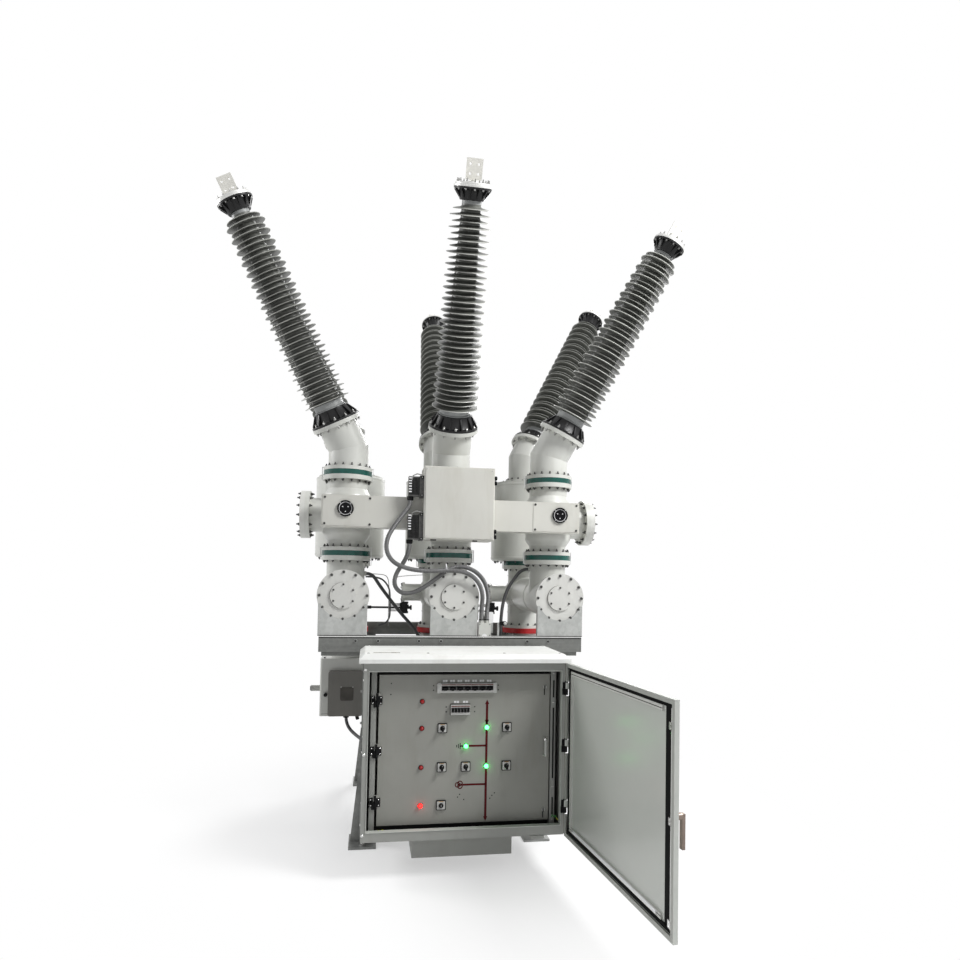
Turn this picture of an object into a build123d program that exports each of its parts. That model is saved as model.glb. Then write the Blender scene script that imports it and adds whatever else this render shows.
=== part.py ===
"""Three-phase outdoor hybrid gas-insulated switchgear bay with its local control cabinet.

Millimetres. The origin is on the ground, at the centre of the foot pattern.
+X runs to the right along the row of phases, +Y runs from the cabinet to the back, +Z is up.
"""
import os
from math import cos, radians, sin, tan

from build123d import *

os.makedirs("parts", exist_ok=True)

# Clearances between pieces
rotary_gap = 0.3
hinge_gap = 1.0

# Base frame
frame_top = 1305
frame_width = 1704
frame_depth = 1340
channel_height = 100
channel_flange = 60
channel_wall = 8

# Legs and feet
leg_side = 90
leg_centre_x = 530
leg_wall = 6
foot_plate_length = 170
foot_plate_width = 220
foot_plate_thickness = 14
anchor_hole_radius = 11
anchor_hole_edge = 32
gusset_height = 440
gusset_reach = 55
gusset_thickness = 12
side_tie_height = 60
side_tie_width = 40
side_tie_z = 300

# Phases
phase_pitch = 708
phase_names = ["left", "centre", "right"]
phase_x = {"left": -phase_pitch, "centre": 0, "right": phase_pitch}
branch_side = {"left": -1, "right": 1}
stub_phases = ["centre", "right"]

# Tanks: one horizontal barrel, a front riser and a rear column on each phase
cover_setback = 25
riser_from_cover = 333
column_setback = 235
barrel_above_frame = 253
barrel_radius = 130
neck_radius = 128
flange_radius = 164
cover_radius = 164
flange_thickness = 28
cover_thickness = 30
cover_boss_radius = 83
cover_boss_height = 10
tee_radius = 152
barrel_end_beyond_column = 178
barrel_end_round = 60
column_radius = 122
column_flange_radius = 150
column_flange_thickness = 22
foot_ring_thickness = 39
foot_ring_radius = 160
stub_radius = 68
stub_flange_radius = 80
stub_flange_thickness = 20
stub_length = 285
valve_width = 46
valve_height = 86
valve_pipe_radius = 8
hose_boss_radius = 16
hose_boss_reach = 140
hose_boss_z = {"left": 1700, "right": 1752}

# Heights above the frame top of the flange joints on the risers
lower_joint = 529
upper_joint = 1071
insulator_thickness = 34
insulator_radius = 163
lower_flange_thickness = 30
upper_flange_thickness = 24

# Disconnector housings
housing_axis = 787
housing_radius = 161
housing_half_height = 130
housing_shoulder = 48
branch_radius = 115
branch_flange_radius = 160
branch_flange_thickness = 30
branch_length = 302
beam_boss_radius = 85

# Drive beams, position windows and the operating box
beam_height = 205
beam_axis = 793
beam_left_end = 860
beam_right_end = 845
beam_depth = 135
beam_front_from_cover = 30
beam_cover_width = 312
beam_cover_inset = 8
beam_cover_thickness = 3
window_radius = 52
window_depth = 12
window_axis = 808
box_left = -215
box_right = 243
box_bottom = 620
box_top = 1090
box_front_from_cover = -70
box_edge = 6
box_door_margin = 10
box_door_thickness = 4
connector_width = 98
connector_depth = 70
connector_base = 26
connector_spans = [(889, 1028), (611, 789)]
connector_gland_radius = 16
connector_gland_inset = 14
connector_gap = 5
connector_gland_length = 22

# Current transformers on the rear columns
ct_radius = 267
ct_height = 640
ct_edge = 14
ct_lid_radius = 250
ct_lid_thickness = 16

# Elbows that carry the bushings
lean = 30
fan_angle = 60
front_bend = 1249
rear_bend = 1362
front_elbow_reach = 200
rear_elbow_reach = 150
elbow_radius = 133
bushing_flange_radius = 170
bushing_flange_thickness = 26

# Bushings, from the base flange to the terminal
base_casting_radius = 168
base_casting_top_radius = 116
base_casting_root_radius = 142
base_casting_flange = 14
base_casting_height = 88
collar_radius = 101
collar_height = 45
top_collar_height = 18
bushing_length = 1444
shed_count = 12
shed_radius_bottom = 157
shed_radius_top = 126
core_radius_bottom = 100
core_radius_top = 64
cap_casting_radius = 112
cap_casting_root_radius = 88
cap_casting_flange = 11
cap_casting_top_radius = 72
cap_casting_height = 70
casting_rib_count = 12
casting_rib_thickness = 9
cap_plate_radius = 114
cap_plate_thickness = 24
stem_radius = 22
stem_length = 14
pad_width = 95
pad_length = 110
pad_thickness = 16
pad_hole_radius = 7
pad_hole_spacing = 50

# Support plates under the front covers
support_plate_thickness = 10
support_plate_width = 306
support_plate_rise = 200
support_bite = 0.9

# Cross beams and the drive mechanisms below the rear columns
cross_beam_width = 260
cross_beam_height = 70
mechanism_top = -263
mechanism_height = 440
mechanism_width = 390
mechanism_depth = 250
mechanism_round = 16
adapter_radius = 120
mechanism_cover_width = 260
mechanism_cover_height = 344
mechanism_cover_depth = 40
mechanism_cover_drop = 91
mechanism_cover_round = 18
plug_radius = 22
plug_length = 70

# Control cabinet
cabinet_width = 1150
cabinet_height = 981
cabinet_depth = 480
cabinet_offset = 10
cabinet_top_below_frame = 101
cabinet_front_from_cover = -549
cabinet_wall = 2.5
border_left = 28
border_right = 17
border_top = 46
border_bottom = 52
roof_overhang = 27
roof_lip_height = 22
roof_rise = 26
roof_bevel = 30
gland_box_width = 575
gland_box_depth = 330
gland_box_height = 121
rail_height = 50
rail_inset = 5
rail_drops = [230, 930]

# Outer door
door_thickness = 22
door_open = 95.4
door_gap = 6
door_edge = 2.5
hinge_offset_x = 5
hinge_offset_y = 12
knuckle_radius = 6
knuckle_height = 35
hinge_pin_radius = 3
hinge_block = 24
hinge_drops = [113, 440, 785]
hinge_notch = 6
handle_drop = 490
handle_from_edge = 52
handle_plate_width = 34
handle_plate_height = 150
handle_plate_thickness = 8
handle_boss_radius = 15
handle_standoff = 34
handle_lever_length = 125
handle_lever_width = 22
handle_lever_thickness = 14
latch_rod_radius = 6
latch_rod_from_edge = 38
latch_guide_drops = [114, 504, 918]
latch_guide_width = 24
latch_guide_height = 32
latch_guide_depth = 16

# Swing panel with the switches
panel_setback = 79
panel_left_gap = 88
panel_width = 992
panel_bottom_rise = 60
panel_top_drop = 77
panel_lip = 20
panel_hinge_gap = 10
panel_hinge_drops = [142, 426, 711]
panel_hinge_height = 40
stile_width = 30
stile_depth = 40
breaker_row_left = -160
breaker_row_right = 184
breaker_row_drop = 126
breaker_row_height = 52
small_row_left = -80
small_row_right = 31
small_row_drop = 248
small_row_height = 56
breaker_depth = 22
lamp_radius = 12
lamp_depth = 10
lamp_column = -243
left_switch_column = -125
middle_switch_column = 13
mimic_column = 133
right_switch_column = 251
top_lamp_drop = 229
upper_switch_drop = 381
earth_lamp_drop = 486
lower_switch_drop = 602
bottom_row_drop = 816
switch_plate = 48
switch_plate_thickness = 6
pull_from_edge = 30
pull_drop = 498
pull_height = 96
pull_radius = 5
pull_standoff = 34
panel_latch_drops = [152, 862]
panel_latch_radius = 10
panel_latch_depth = 9
knob_radius = 17
knob_length = 14
knob_grip_width = 9
knob_grip_length = 14

# Junction box on the frame
junction_x = 200
junction_width = 82
junction_depth = 60
junction_height = 88
junction_gland_length = 14
junction_gland_pitch = 36

# Conduits and hoses
conduit_diameter = 30
hose_diameter = 24
mechanism_conduit_diameter = 25
cabinet_gland_radius = 20
cabinet_gland_length = 18
run_share = 0.45

# Derived planes of the row
frame_front = -frame_depth / 2
frame_back = frame_depth / 2
cover_y = frame_front + cover_setback
riser_y = cover_y + riser_from_cover
column_y = frame_back - column_setback
barrel_z = frame_top + barrel_above_frame
ring_bottom = frame_top - column_flange_thickness - foot_ring_thickness
lower_z = frame_top + lower_joint
upper_z = frame_top + upper_joint
housing_z = frame_top + housing_axis
ct_top = lower_z - insulator_thickness / 2 + ct_height + 8
ct_bottom = ct_top - ct_height
rear_flange_top = ct_bottom - insulator_thickness
leg_top = frame_top - channel_height
leg_centre_y = frame_depth / 2 - leg_side / 2 - 5
cabinet_top = frame_top - cabinet_top_below_frame
cabinet_bottom = cabinet_top - cabinet_height
cabinet_left = cabinet_offset - cabinet_width / 2
cabinet_right = cabinet_offset + cabinet_width / 2
cabinet_front = cover_y + cabinet_front_from_cover
cabinet_back = cabinet_front + cabinet_depth
beam_front = cover_y + beam_front_from_cover
beam_back = beam_front + beam_depth
box_front = cover_y + box_front_from_cover
cross_beam_top = ring_bottom
mechanism_z = frame_top + mechanism_top


def write(part, name):
    """Label a finished piece and write it to its own file."""
    part.label = name
    export_step(part, f"parts/{name}.step")


def upright(x, y, z):
    """A level plane at a point, normal up."""
    return Plane(origin=(x, y, z), x_dir=(1, 0, 0), z_dir=(0, 0, 1))


def profile_plane(x, y):
    """An upright plane through a vertical axis: local x is the radius, local y is the height."""
    return Plane(origin=(x, y, 0), x_dir=(1, 0, 0), z_dir=(0, -1, 0))


# Base frame: two channels with their webs to the front, joined by a cross beam under each phase
with BuildPart() as base_frame:
    for web_y in (frame_front, frame_back - channel_flange):
        with BuildSketch(Plane.YZ.offset(-frame_width / 2)):
            with Locations((web_y, leg_top)):
                Rectangle(channel_flange, channel_height, align=(Align.MIN, Align.MIN))
            with Locations((web_y + channel_wall, leg_top + channel_wall)):
                Rectangle(
                    channel_flange,
                    channel_height - 2 * channel_wall,
                    align=(Align.MIN, Align.MIN),
                    mode=Mode.SUBTRACT,
                )
        extrude(amount=frame_width)
    beam_start = frame_front + channel_flange
    beam_end = frame_back - channel_flange
    for x in phase_x.values():
        with BuildSketch(Plane.XZ.offset(-beam_start)):
            with Locations((x, cross_beam_top)):
                Rectangle(cross_beam_width, cross_beam_height, align=(Align.CENTER, Align.MAX))
        extrude(amount=-(beam_end - beam_start))
write(base_frame.part, "base_frame")

# Legs with foot plates, outer gussets and side ties
with BuildPart() as legs:
    for side_x in (-1, 1):
        for side_y in (-1, 1):
            centre_x = side_x * leg_centre_x
            centre_y = side_y * leg_centre_y
            foot_x = side_x * (leg_centre_x + leg_side / 2 + gusset_reach + 8 - foot_plate_length / 2)
            with BuildSketch(upright(foot_x, centre_y, 0)):
                Rectangle(foot_plate_length, foot_plate_width)
                with Locations(
                    (0, foot_plate_width / 2 - anchor_hole_edge),
                    (0, anchor_hole_edge - foot_plate_width / 2),
                ):
                    Circle(anchor_hole_radius, mode=Mode.SUBTRACT)
            extrude(amount=foot_plate_thickness)
            with BuildSketch(upright(centre_x, centre_y, foot_plate_thickness)):
                Rectangle(leg_side, leg_side)
                Rectangle(leg_side - 2 * leg_wall, leg_side - 2 * leg_wall, mode=Mode.SUBTRACT)
            extrude(amount=leg_top - foot_plate_thickness)
            outer = side_x * (leg_centre_x + leg_side / 2)
            with BuildSketch(Plane.XZ.offset(-(centre_y - gusset_thickness / 2))):
                with BuildLine():
                    Polyline(
                        (outer, foot_plate_thickness),
                        (outer + side_x * gusset_reach, foot_plate_thickness),
                        (outer + side_x * 12, gusset_height),
                        (outer, gusset_height),
                        close=True,
                    )
                make_face()
            extrude(amount=-gusset_thickness)
    tie_start = leg_side / 2 - leg_centre_y
    for side_x in (-1, 1):
        with BuildSketch(Plane.XZ.offset(-tie_start)):
            with Locations((side_x * leg_centre_x, side_tie_z)):
                Rectangle(side_tie_width, side_tie_height)
        extrude(amount=2 * tie_start)
write(legs.part, "legs")

# Support plates that hold up the front covers
with BuildPart() as cover_supports:
    for x in phase_x.values():
        with BuildSketch(Plane.XZ.offset(-(cover_y - support_plate_thickness))):
            with Locations((x, frame_top)):
                Rectangle(support_plate_width, support_plate_rise, align=(Align.CENTER, Align.MIN))
            with Locations((x, barrel_z)):
                Circle(support_bite * cover_radius, mode=Mode.SUBTRACT)
        extrude(amount=-support_plate_thickness)
write(cover_supports.part, "cover_supports")


# Gas tanks: barrel, front riser, rear column and the cast tee where they meet
def breaker_tank(name):
    x = phase_x[name]
    flange_y = cover_y + cover_thickness
    with BuildPart() as tank:
        with BuildSketch(Plane.XZ.offset(-flange_y)):
            with Locations((x, barrel_z)):
                Circle(cover_radius)
        extrude(amount=-flange_thickness)
        with BuildSketch(Plane.XZ.offset(-flange_y)):
            with Locations((x, barrel_z)):
                Circle(barrel_radius)
        extrude(amount=-(column_y + barrel_end_beyond_column - flange_y))
        rear_edge = tank.edges().filter_by(GeomType.CIRCLE).sort_by(Axis.Y)[-1]
        fillet(rear_edge, radius=barrel_end_round)
        with Locations((x, column_y, barrel_z)):
            Sphere(tee_radius)
        with BuildSketch(upright(x, riser_y, barrel_z)):
            Circle(neck_radius)
        extrude(amount=lower_z - insulator_thickness / 2 - barrel_z)
        with BuildSketch(upright(x, riser_y, lower_z - insulator_thickness / 2)):
            Circle(flange_radius)
        extrude(amount=-lower_flange_thickness)
        with BuildSketch(upright(x, column_y, frame_top - column_flange_thickness)):
            Circle(column_radius)
        extrude(amount=rear_flange_top - frame_top + column_flange_thickness)
        with BuildSketch(upright(x, column_y, rear_flange_top)):
            Circle(flange_radius)
        extrude(amount=-lower_flange_thickness)
        with BuildSketch(upright(x, column_y, frame_top - column_flange_thickness)):
            Circle(column_flange_radius)
        extrude(amount=column_flange_thickness)
        if name in hose_boss_z:
            inward = -branch_side[name]
            with BuildSketch(Plane.YZ.offset(x + inward * (neck_radius - 10))):
                with Locations((riser_y, hose_boss_z[name])):
                    Circle(hose_boss_radius)
            extrude(amount=inward * (hose_boss_reach - neck_radius + 10))
        if name in stub_phases:
            with BuildSketch(Plane.YZ.offset(x - stub_length)):
                with Locations((column_y, barrel_z)):
                    Circle(stub_radius)
            extrude(amount=stub_length)
            with BuildSketch(Plane.YZ.offset(x - stub_length)):
                with Locations((column_y, barrel_z)):
                    Circle(stub_flange_radius)
            extrude(amount=stub_flange_thickness)
    write(tank.part, f"breaker_tank_{name}")


for name in phase_names:
    breaker_tank(name)

# Front end covers with their raised inner covers, and the blank flanges of the side branches
with BuildPart() as end_covers:
    for x in phase_x.values():
        with BuildSketch(Plane.XZ.offset(-cover_y)):
            with Locations((x, barrel_z)):
                Circle(cover_radius)
        extrude(amount=-cover_thickness)
        with BuildSketch(Plane.XZ.offset(-cover_y)):
            with Locations((x, barrel_z)):
                Circle(cover_boss_radius)
        extrude(amount=cover_boss_height)
    for name, side in branch_side.items():
        start = phase_x[name] + side * (branch_length - branch_flange_thickness)
        with BuildSketch(Plane.YZ.offset(start)):
            with Locations((riser_y, housing_z)):
                Circle(branch_flange_radius)
        extrude(amount=side * branch_flange_thickness)
write(end_covers.part, "end_covers")

# Foot rings between the rear columns and the cross beams
with BuildPart() as foot_rings:
    for x in phase_x.values():
        with BuildSketch(upright(x, column_y, ring_bottom)):
            Circle(foot_ring_radius)
            Circle(column_radius - 20, mode=Mode.SUBTRACT)
        extrude(amount=foot_ring_thickness)
write(foot_rings.part, "foot_rings")


# Barrier insulators in the flange joints
insulator_places = [
    (riser_y, lower_z - insulator_thickness / 2),
    (riser_y, upper_z - insulator_thickness / 2),
    (column_y, rear_flange_top),
]
with BuildPart() as barrier_insulators:
    for row_y, bottom in insulator_places:
        for x in phase_x.values():
            with BuildSketch(upright(x, row_y, bottom)):
                Circle(insulator_radius)
            extrude(amount=insulator_thickness)
write(barrier_insulators.part, "barrier_insulators")


# Disconnector housings: a turned body with round shoulders, a side branch and a boss for the beam
def disconnector_housing(name):
    x = phase_x[name]
    bottom = lower_z + insulator_thickness / 2
    top = upper_z - insulator_thickness / 2
    body_low = housing_z - housing_half_height
    body_high = housing_z + housing_half_height
    with BuildPart() as housing:
        with BuildSketch(profile_plane(x, riser_y)):
            with BuildLine():
                Polyline(
                    (0, bottom),
                    (flange_radius, bottom),
                    (flange_radius, bottom + upper_flange_thickness),
                    (neck_radius, bottom + upper_flange_thickness),
                    (neck_radius, body_low - housing_shoulder),
                    (housing_radius, body_low),
                    (housing_radius, body_high),
                    (neck_radius + 6, body_high + housing_shoulder),
                    (neck_radius + 6, top - lower_flange_thickness),
                    (flange_radius, top - lower_flange_thickness),
                    (flange_radius, top),
                    (0, top),
                    close=True,
                )
            make_face()
        revolve(axis=Axis((x, riser_y, 0), (0, 0, 1)))
        shoulder_edges = housing.edges().filter_by(
            lambda edge: edge.geom_type == GeomType.CIRCLE
            and abs(edge.radius - housing_radius) < 1
        )
        fillet(shoulder_edges, radius=45)
        with BuildSketch(Plane.XZ.offset(-beam_back)):
            with Locations((x, frame_top + beam_axis)):
                Circle(beam_boss_radius)
        extrude(amount=-(riser_y - beam_back))
        if name in branch_side:
            side = branch_side[name]
            with BuildSketch(Plane.YZ.offset(x)):
                with Locations((riser_y, housing_z)):
                    Circle(branch_radius)
            extrude(amount=side * (branch_length - branch_flange_thickness))
            flange_start = x + side * (branch_length - 2 * branch_flange_thickness)
            with BuildSketch(Plane.YZ.offset(flange_start)):
                with Locations((riser_y, housing_z)):
                    Circle(branch_flange_radius)
            extrude(amount=side * branch_flange_thickness)
    return housing.part


with BuildPart() as disconnector_housings:
    for name in phase_names:
        add(disconnector_housing(name))
write(disconnector_housings.part, "disconnector_housings")


# Current transformer drums on the rear columns
def current_transformer(name):
    x = phase_x[name]
    with BuildPart() as drum:
        with BuildSketch(upright(x, column_y, ct_bottom)):
            Circle(ct_radius)
        extrude(amount=ct_height - ct_lid_thickness)
        rims = drum.edges().filter_by(GeomType.CIRCLE)
        chamfer(rims, length=ct_edge)
        with BuildSketch(upright(x, column_y, ct_top)):
            Circle(ct_lid_radius)
        extrude(amount=-ct_lid_thickness - 1)
    return drum.part


with BuildPart() as current_transformers:
    for name in phase_names:
        add(current_transformer(name))
write(current_transformers.part, "current_transformers")

# Lean directions of the bushings: outwards on the outer phases, straight on the centre one
fan = {"left": -fan_angle, "centre": 0, "right": fan_angle}


def lean_direction(name, facing):
    """Unit vector along a bushing; facing is -1 for the front row and 1 for the rear row."""
    turn = radians(fan[name])
    reach = sin(radians(lean))
    return Vector(reach * sin(turn), facing * reach * cos(turn), cos(radians(lean)))


def bushing_plane(name, facing, bend_z, reach, along=0):
    """Plane on a bushing's axis, normal along the bushing, along mm beyond its base flange."""
    row_y = riser_y if facing < 0 else column_y
    direction = lean_direction(name, facing)
    origin = Vector(phase_x[name], row_y, bend_z) + direction * (reach + along)
    across = Vector(1, 0, 0) - direction * direction.X
    return Plane(origin=origin, x_dir=across, z_dir=direction)


rows = {
    "front": (-1, frame_top + front_bend, front_elbow_reach),
    "rear": (1, frame_top + rear_bend, rear_elbow_reach),
}


# Elbows: a vertical neck and an inclined one with the bushing's flange, mitred at the bend
def elbow_row(row, start_z):
    facing, bend_z, reach = rows[row]
    row_y = riser_y if facing < 0 else column_y
    with BuildPart() as piece:
        for name in phase_names:
            x = phase_x[name]
            seat = bushing_plane(name, facing, bend_z, reach)
            with BuildSketch(upright(x, row_y, start_z)):
                Circle(flange_radius)
            extrude(amount=upper_flange_thickness)
            with BuildLine() as route:
                Polyline((x, row_y, start_z), (x, row_y, bend_z), seat.origin)
            with BuildSketch(upright(x, row_y, start_z)):
                Circle(elbow_radius)
            sweep(path=route.wires()[0], transition=Transition.RIGHT)
            with BuildSketch(seat):
                Circle(bushing_flange_radius)
            extrude(amount=-bushing_flange_thickness)
    return piece.part


with BuildPart() as bushing_elbows:
    add(elbow_row("front", upper_z + insulator_thickness / 2))
    add(elbow_row("rear", ct_top))
write(bushing_elbows.part, "bushing_elbows")


def axis_profile(base):
    """Plane through a bushing's axis: local x is the radius, local y runs along the bushing."""
    return Plane(origin=base.origin, x_dir=base.x_dir, z_dir=base.y_dir * -1)


def turned(base, angle):
    """The same plane turned about its normal by an angle in degrees."""
    turn = radians(angle)
    return Plane(
        origin=base.origin,
        x_dir=base.x_dir * cos(turn) + base.y_dir * sin(turn),
        z_dir=base.z_dir,
    )


# Castings of the bushings: a flanged cone at the base, a flared one with its cap plate at the top
def bushing_casting(name, row):
    facing, bend_z, reach = rows[row]
    seat = bushing_plane(name, facing, bend_z, reach)
    head = bushing_plane(name, facing, bend_z, reach, bushing_length - cap_casting_height)
    with BuildPart() as casting:
        with BuildSketch(axis_profile(seat)):
            with BuildLine():
                Polyline(
                    (0, 0),
                    (base_casting_radius, 0),
                    (base_casting_radius, base_casting_flange),
                    (base_casting_root_radius, base_casting_flange + 10),
                    (base_casting_top_radius, base_casting_height),
                    (0, base_casting_height),
                    close=True,
                )
            make_face()
        revolve(axis=Axis(seat.origin, seat.z_dir))
        with BuildSketch(axis_profile(head)):
            with BuildLine():
                Polyline(
                    (0, 0),
                    (cap_casting_top_radius, 0),
                    (cap_casting_root_radius, cap_casting_height - cap_casting_flange - 10),
                    (cap_casting_radius, cap_casting_height - cap_casting_flange),
                    (cap_casting_radius, cap_casting_height),
                    (cap_plate_radius, cap_casting_height),
                    (cap_plate_radius, cap_casting_height + cap_plate_thickness),
                    (0, cap_casting_height + cap_plate_thickness),
                    close=True,
                )
            make_face()
        revolve(axis=Axis(head.origin, head.z_dir))
        for index in range(casting_rib_count):
            angle = 360 * (index + 0.5) / casting_rib_count
            with BuildSketch(axis_profile(turned(seat, angle))):
                with BuildLine():
                    Polyline(
                        (base_casting_top_radius - 20, base_casting_flange / 2),
                        (base_casting_radius - 5, base_casting_flange / 2),
                        (base_casting_radius - 7, base_casting_flange + 12),
                        (base_casting_top_radius + 3, base_casting_height - 8),
                        (base_casting_top_radius - 20, base_casting_height - 8),
                        close=True,
                    )
                make_face()
            extrude(amount=casting_rib_thickness / 2, both=True)
            with BuildSketch(axis_profile(turned(head, angle))):
                with BuildLine():
                    Polyline(
                        (cap_casting_top_radius - 20, 8),
                        (cap_casting_top_radius + 3, 8),
                        (cap_casting_radius - 4, cap_casting_height - cap_casting_flange - 8),
                        (cap_casting_radius - 4, cap_casting_height - cap_casting_flange / 2),
                        (cap_casting_top_radius - 20, cap_casting_height - cap_casting_flange / 2),
                        close=True,
                    )
                make_face()
            extrude(amount=casting_rib_thickness / 2, both=True)
    return casting.part


with BuildPart() as bushing_castings:
    for row in rows:
        for name in phase_names:
            add(bushing_casting(name, row))
write(bushing_castings.part, "bushing_castings")


# Bushing insulators: a tapering core with a row of sheds
def bushing(name, row):
    facing, bend_z, reach = rows[row]
    foot = bushing_plane(name, facing, bend_z, reach, base_casting_height)
    shed_start = collar_height
    top = bushing_length - base_casting_height - cap_casting_height
    shed_end = top - top_collar_height
    pitch = (shed_end - shed_start) / shed_count
    outline = [(0, 0), (collar_radius, 0), (collar_radius, shed_start)]
    for index in range(shed_count):
        share = index / (shed_count - 1)
        core = core_radius_bottom + share * (core_radius_top - core_radius_bottom)
        tip = shed_radius_bottom + share * (shed_radius_top - shed_radius_bottom)
        low = shed_start + index * pitch
        outline.append((core, low + 0.2 * pitch))
        outline.append((tip, low + 0.5 * pitch))
    outline.append((core_radius_top, shed_end))
    outline.append((core_radius_top, top))
    outline.append((0, top))
    with BuildPart() as piece:
        with BuildSketch(axis_profile(foot)):
            with BuildLine():
                Polyline(*outline, close=True)
            make_face()
        revolve(axis=Axis(foot.origin, foot.z_dir))
    return piece.part


for row in rows:
    with BuildPart() as bushings:
        for name in phase_names:
            add(bushing(name, row))
    write(bushings.part, f"bushings_{row}")

# Terminal pads with four bolt holes
with BuildPart() as terminals:
    for row, (facing, bend_z, reach) in rows.items():
        for name in phase_names:
            top = bushing_plane(name, facing, bend_z, reach, bushing_length + cap_plate_thickness)
            with BuildSketch(top):
                Circle(stem_radius)
            extrude(amount=stem_length)
            pad_centre = top.origin + top.z_dir * (stem_length + pad_length / 2)
            pad_plane = Plane(origin=pad_centre, x_dir=top.x_dir, z_dir=top.y_dir)
            with BuildSketch(pad_plane):
                Rectangle(pad_width, pad_length)
                with GridLocations(pad_hole_spacing, pad_hole_spacing, 2, 2):
                    Circle(pad_hole_radius, mode=Mode.SUBTRACT)
            extrude(amount=pad_thickness / 2, both=True)
write(terminals.part, "terminals")

# Drive beams in front of the housings, with their access covers
with BuildPart() as drive_beams:
    for start, end in ((-beam_left_end, box_left), (box_right, beam_right_end)):
        with BuildSketch(Plane.YZ.offset(start)):
            with Locations((beam_front, frame_top + beam_axis)):
                Rectangle(beam_depth, beam_height, align=(Align.MIN, Align.CENTER))
        extrude(amount=end - start)
    for side in branch_side.values():
        outer_end = -beam_left_end if side < 0 else beam_right_end
        cover_centre = outer_end - side * (beam_cover_inset + beam_cover_width / 2)
        with BuildSketch(Plane.XZ.offset(-beam_front)):
            with Locations((cover_centre, frame_top + beam_axis)):
                Rectangle(beam_cover_width, beam_height - 2 * beam_cover_inset)
        extrude(amount=beam_cover_thickness)
write(drive_beams.part, "drive_beams")

# Position windows of the disconnectors
with BuildPart() as position_windows:
    for name in branch_side:
        face = beam_front - beam_cover_thickness
        with BuildSketch(Plane.XZ.offset(-face)):
            with Locations((phase_x[name], frame_top + window_axis)):
                Circle(window_radius)
        extrude(amount=window_depth)
        with BuildSketch(Plane.XZ.offset(-(face - window_depth))):
            with Locations((phase_x[name], frame_top + window_axis)):
                Circle(window_radius - 9)
        extrude(amount=-window_depth / 2, mode=Mode.SUBTRACT)
write(position_windows.part, "position_windows")

# Operating box in the middle of the beams, with its plain front door
with BuildPart() as operating_box:
    box_middle = (box_left + box_right) / 2
    with BuildSketch(Plane.XZ.offset(-beam_back)):
        with Locations((box_middle, frame_top + (box_bottom + box_top) / 2)):
            Rectangle(box_right - box_left, box_top - box_bottom)
    extrude(amount=beam_back - box_front)
    chamfer(operating_box.edges().group_by(Axis.Y)[0], length=box_edge)
    with BuildSketch(Plane.XZ.offset(-box_front)):
        with Locations((box_middle, frame_top + (box_bottom + box_top) / 2)):
            RectangleRounded(
                box_right - box_left - 2 * box_door_margin,
                box_top - box_bottom - 2 * box_door_margin,
                4,
            )
    extrude(amount=box_door_thickness)
write(operating_box.part, "operating_box")

# Multi-pin connectors on its left side, each with a gland below
connector_y = beam_front - connector_gap - connector_depth / 2
conduit_exit_x = box_left - connector_width + connector_gland_inset
with BuildPart() as box_connectors:
    for low, high in connector_spans:
        middle_z = frame_top + (low + high) / 2
        with Locations((box_left - connector_base / 2, connector_y, middle_z)):
            Box(connector_base, connector_depth, high - low)
        hood_width = connector_width - connector_base
        with Locations((box_left - connector_base - hood_width / 2, connector_y, middle_z)):
            Box(hood_width, connector_depth - 14, high - low - 12)
        gland_x = conduit_exit_x
        with BuildSketch(upright(gland_x, connector_y, frame_top + low + 6)):
            Circle(connector_gland_radius)
        extrude(amount=-connector_gland_length)
write(box_connectors.part, "box_connectors")


# Drive mechanisms hung below the cross beams
def mechanism(name):
    x = phase_x[name]
    cross_beam_bottom = cross_beam_top - cross_beam_height
    with BuildPart() as housing:
        with Locations((x, column_y, mechanism_z - mechanism_height / 2)):
            Box(mechanism_width, mechanism_depth, mechanism_height)
        fillet(housing.edges().filter_by(Axis.Z), radius=mechanism_round)
        with BuildSketch(upright(x, column_y, mechanism_z)):
            Circle(adapter_radius)
        extrude(amount=cross_beam_bottom - mechanism_z)
        with BuildSketch(Plane.YZ.offset(x - mechanism_width / 2)):
            with Locations((column_y - mechanism_depth / 4, mechanism_z - 235)):
                Circle(plug_radius)
        extrude(amount=-plug_length)
    return housing.part


with BuildPart() as drive_mechanisms:
    for name in phase_names:
        add(mechanism(name))
write(drive_mechanisms.part, "drive_mechanisms")

# Rounded covers on the fronts of the mechanisms
with BuildPart() as mechanism_covers:
    for x in phase_x.values():
        cover_top = mechanism_z - mechanism_cover_drop
        cover_back = column_y - mechanism_depth / 2
        with BuildSketch(Plane.XZ.offset(-cover_back)):
            with Locations((x, cover_top - mechanism_cover_height / 2)):
                RectangleRounded(mechanism_cover_width, mechanism_cover_height, mechanism_cover_round)
        extrude(amount=mechanism_cover_depth)
write(mechanism_covers.part, "mechanism_covers")

# Gas valves below the stubs and the pipe that joins them
with BuildPart() as gas_piping:
    valve_top = barrel_z - stub_flange_radius
    for name in stub_phases:
        valve_x = phase_x[name] - stub_length + valve_width / 2
        with Locations((valve_x, column_y, valve_top - valve_height / 2)):
            Box(valve_width, valve_width, valve_height)
    pipe_start = phase_x["left"] + column_radius
    pipe_end = phase_x["centre"] - stub_length
    with BuildSketch(Plane.YZ.offset(pipe_start)):
        with Locations((column_y, barrel_z - stub_flange_radius - valve_height / 2)):
            Circle(valve_pipe_radius)
    extrude(amount=pipe_end - pipe_start)
write(gas_piping.part, "gas_piping")

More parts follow.
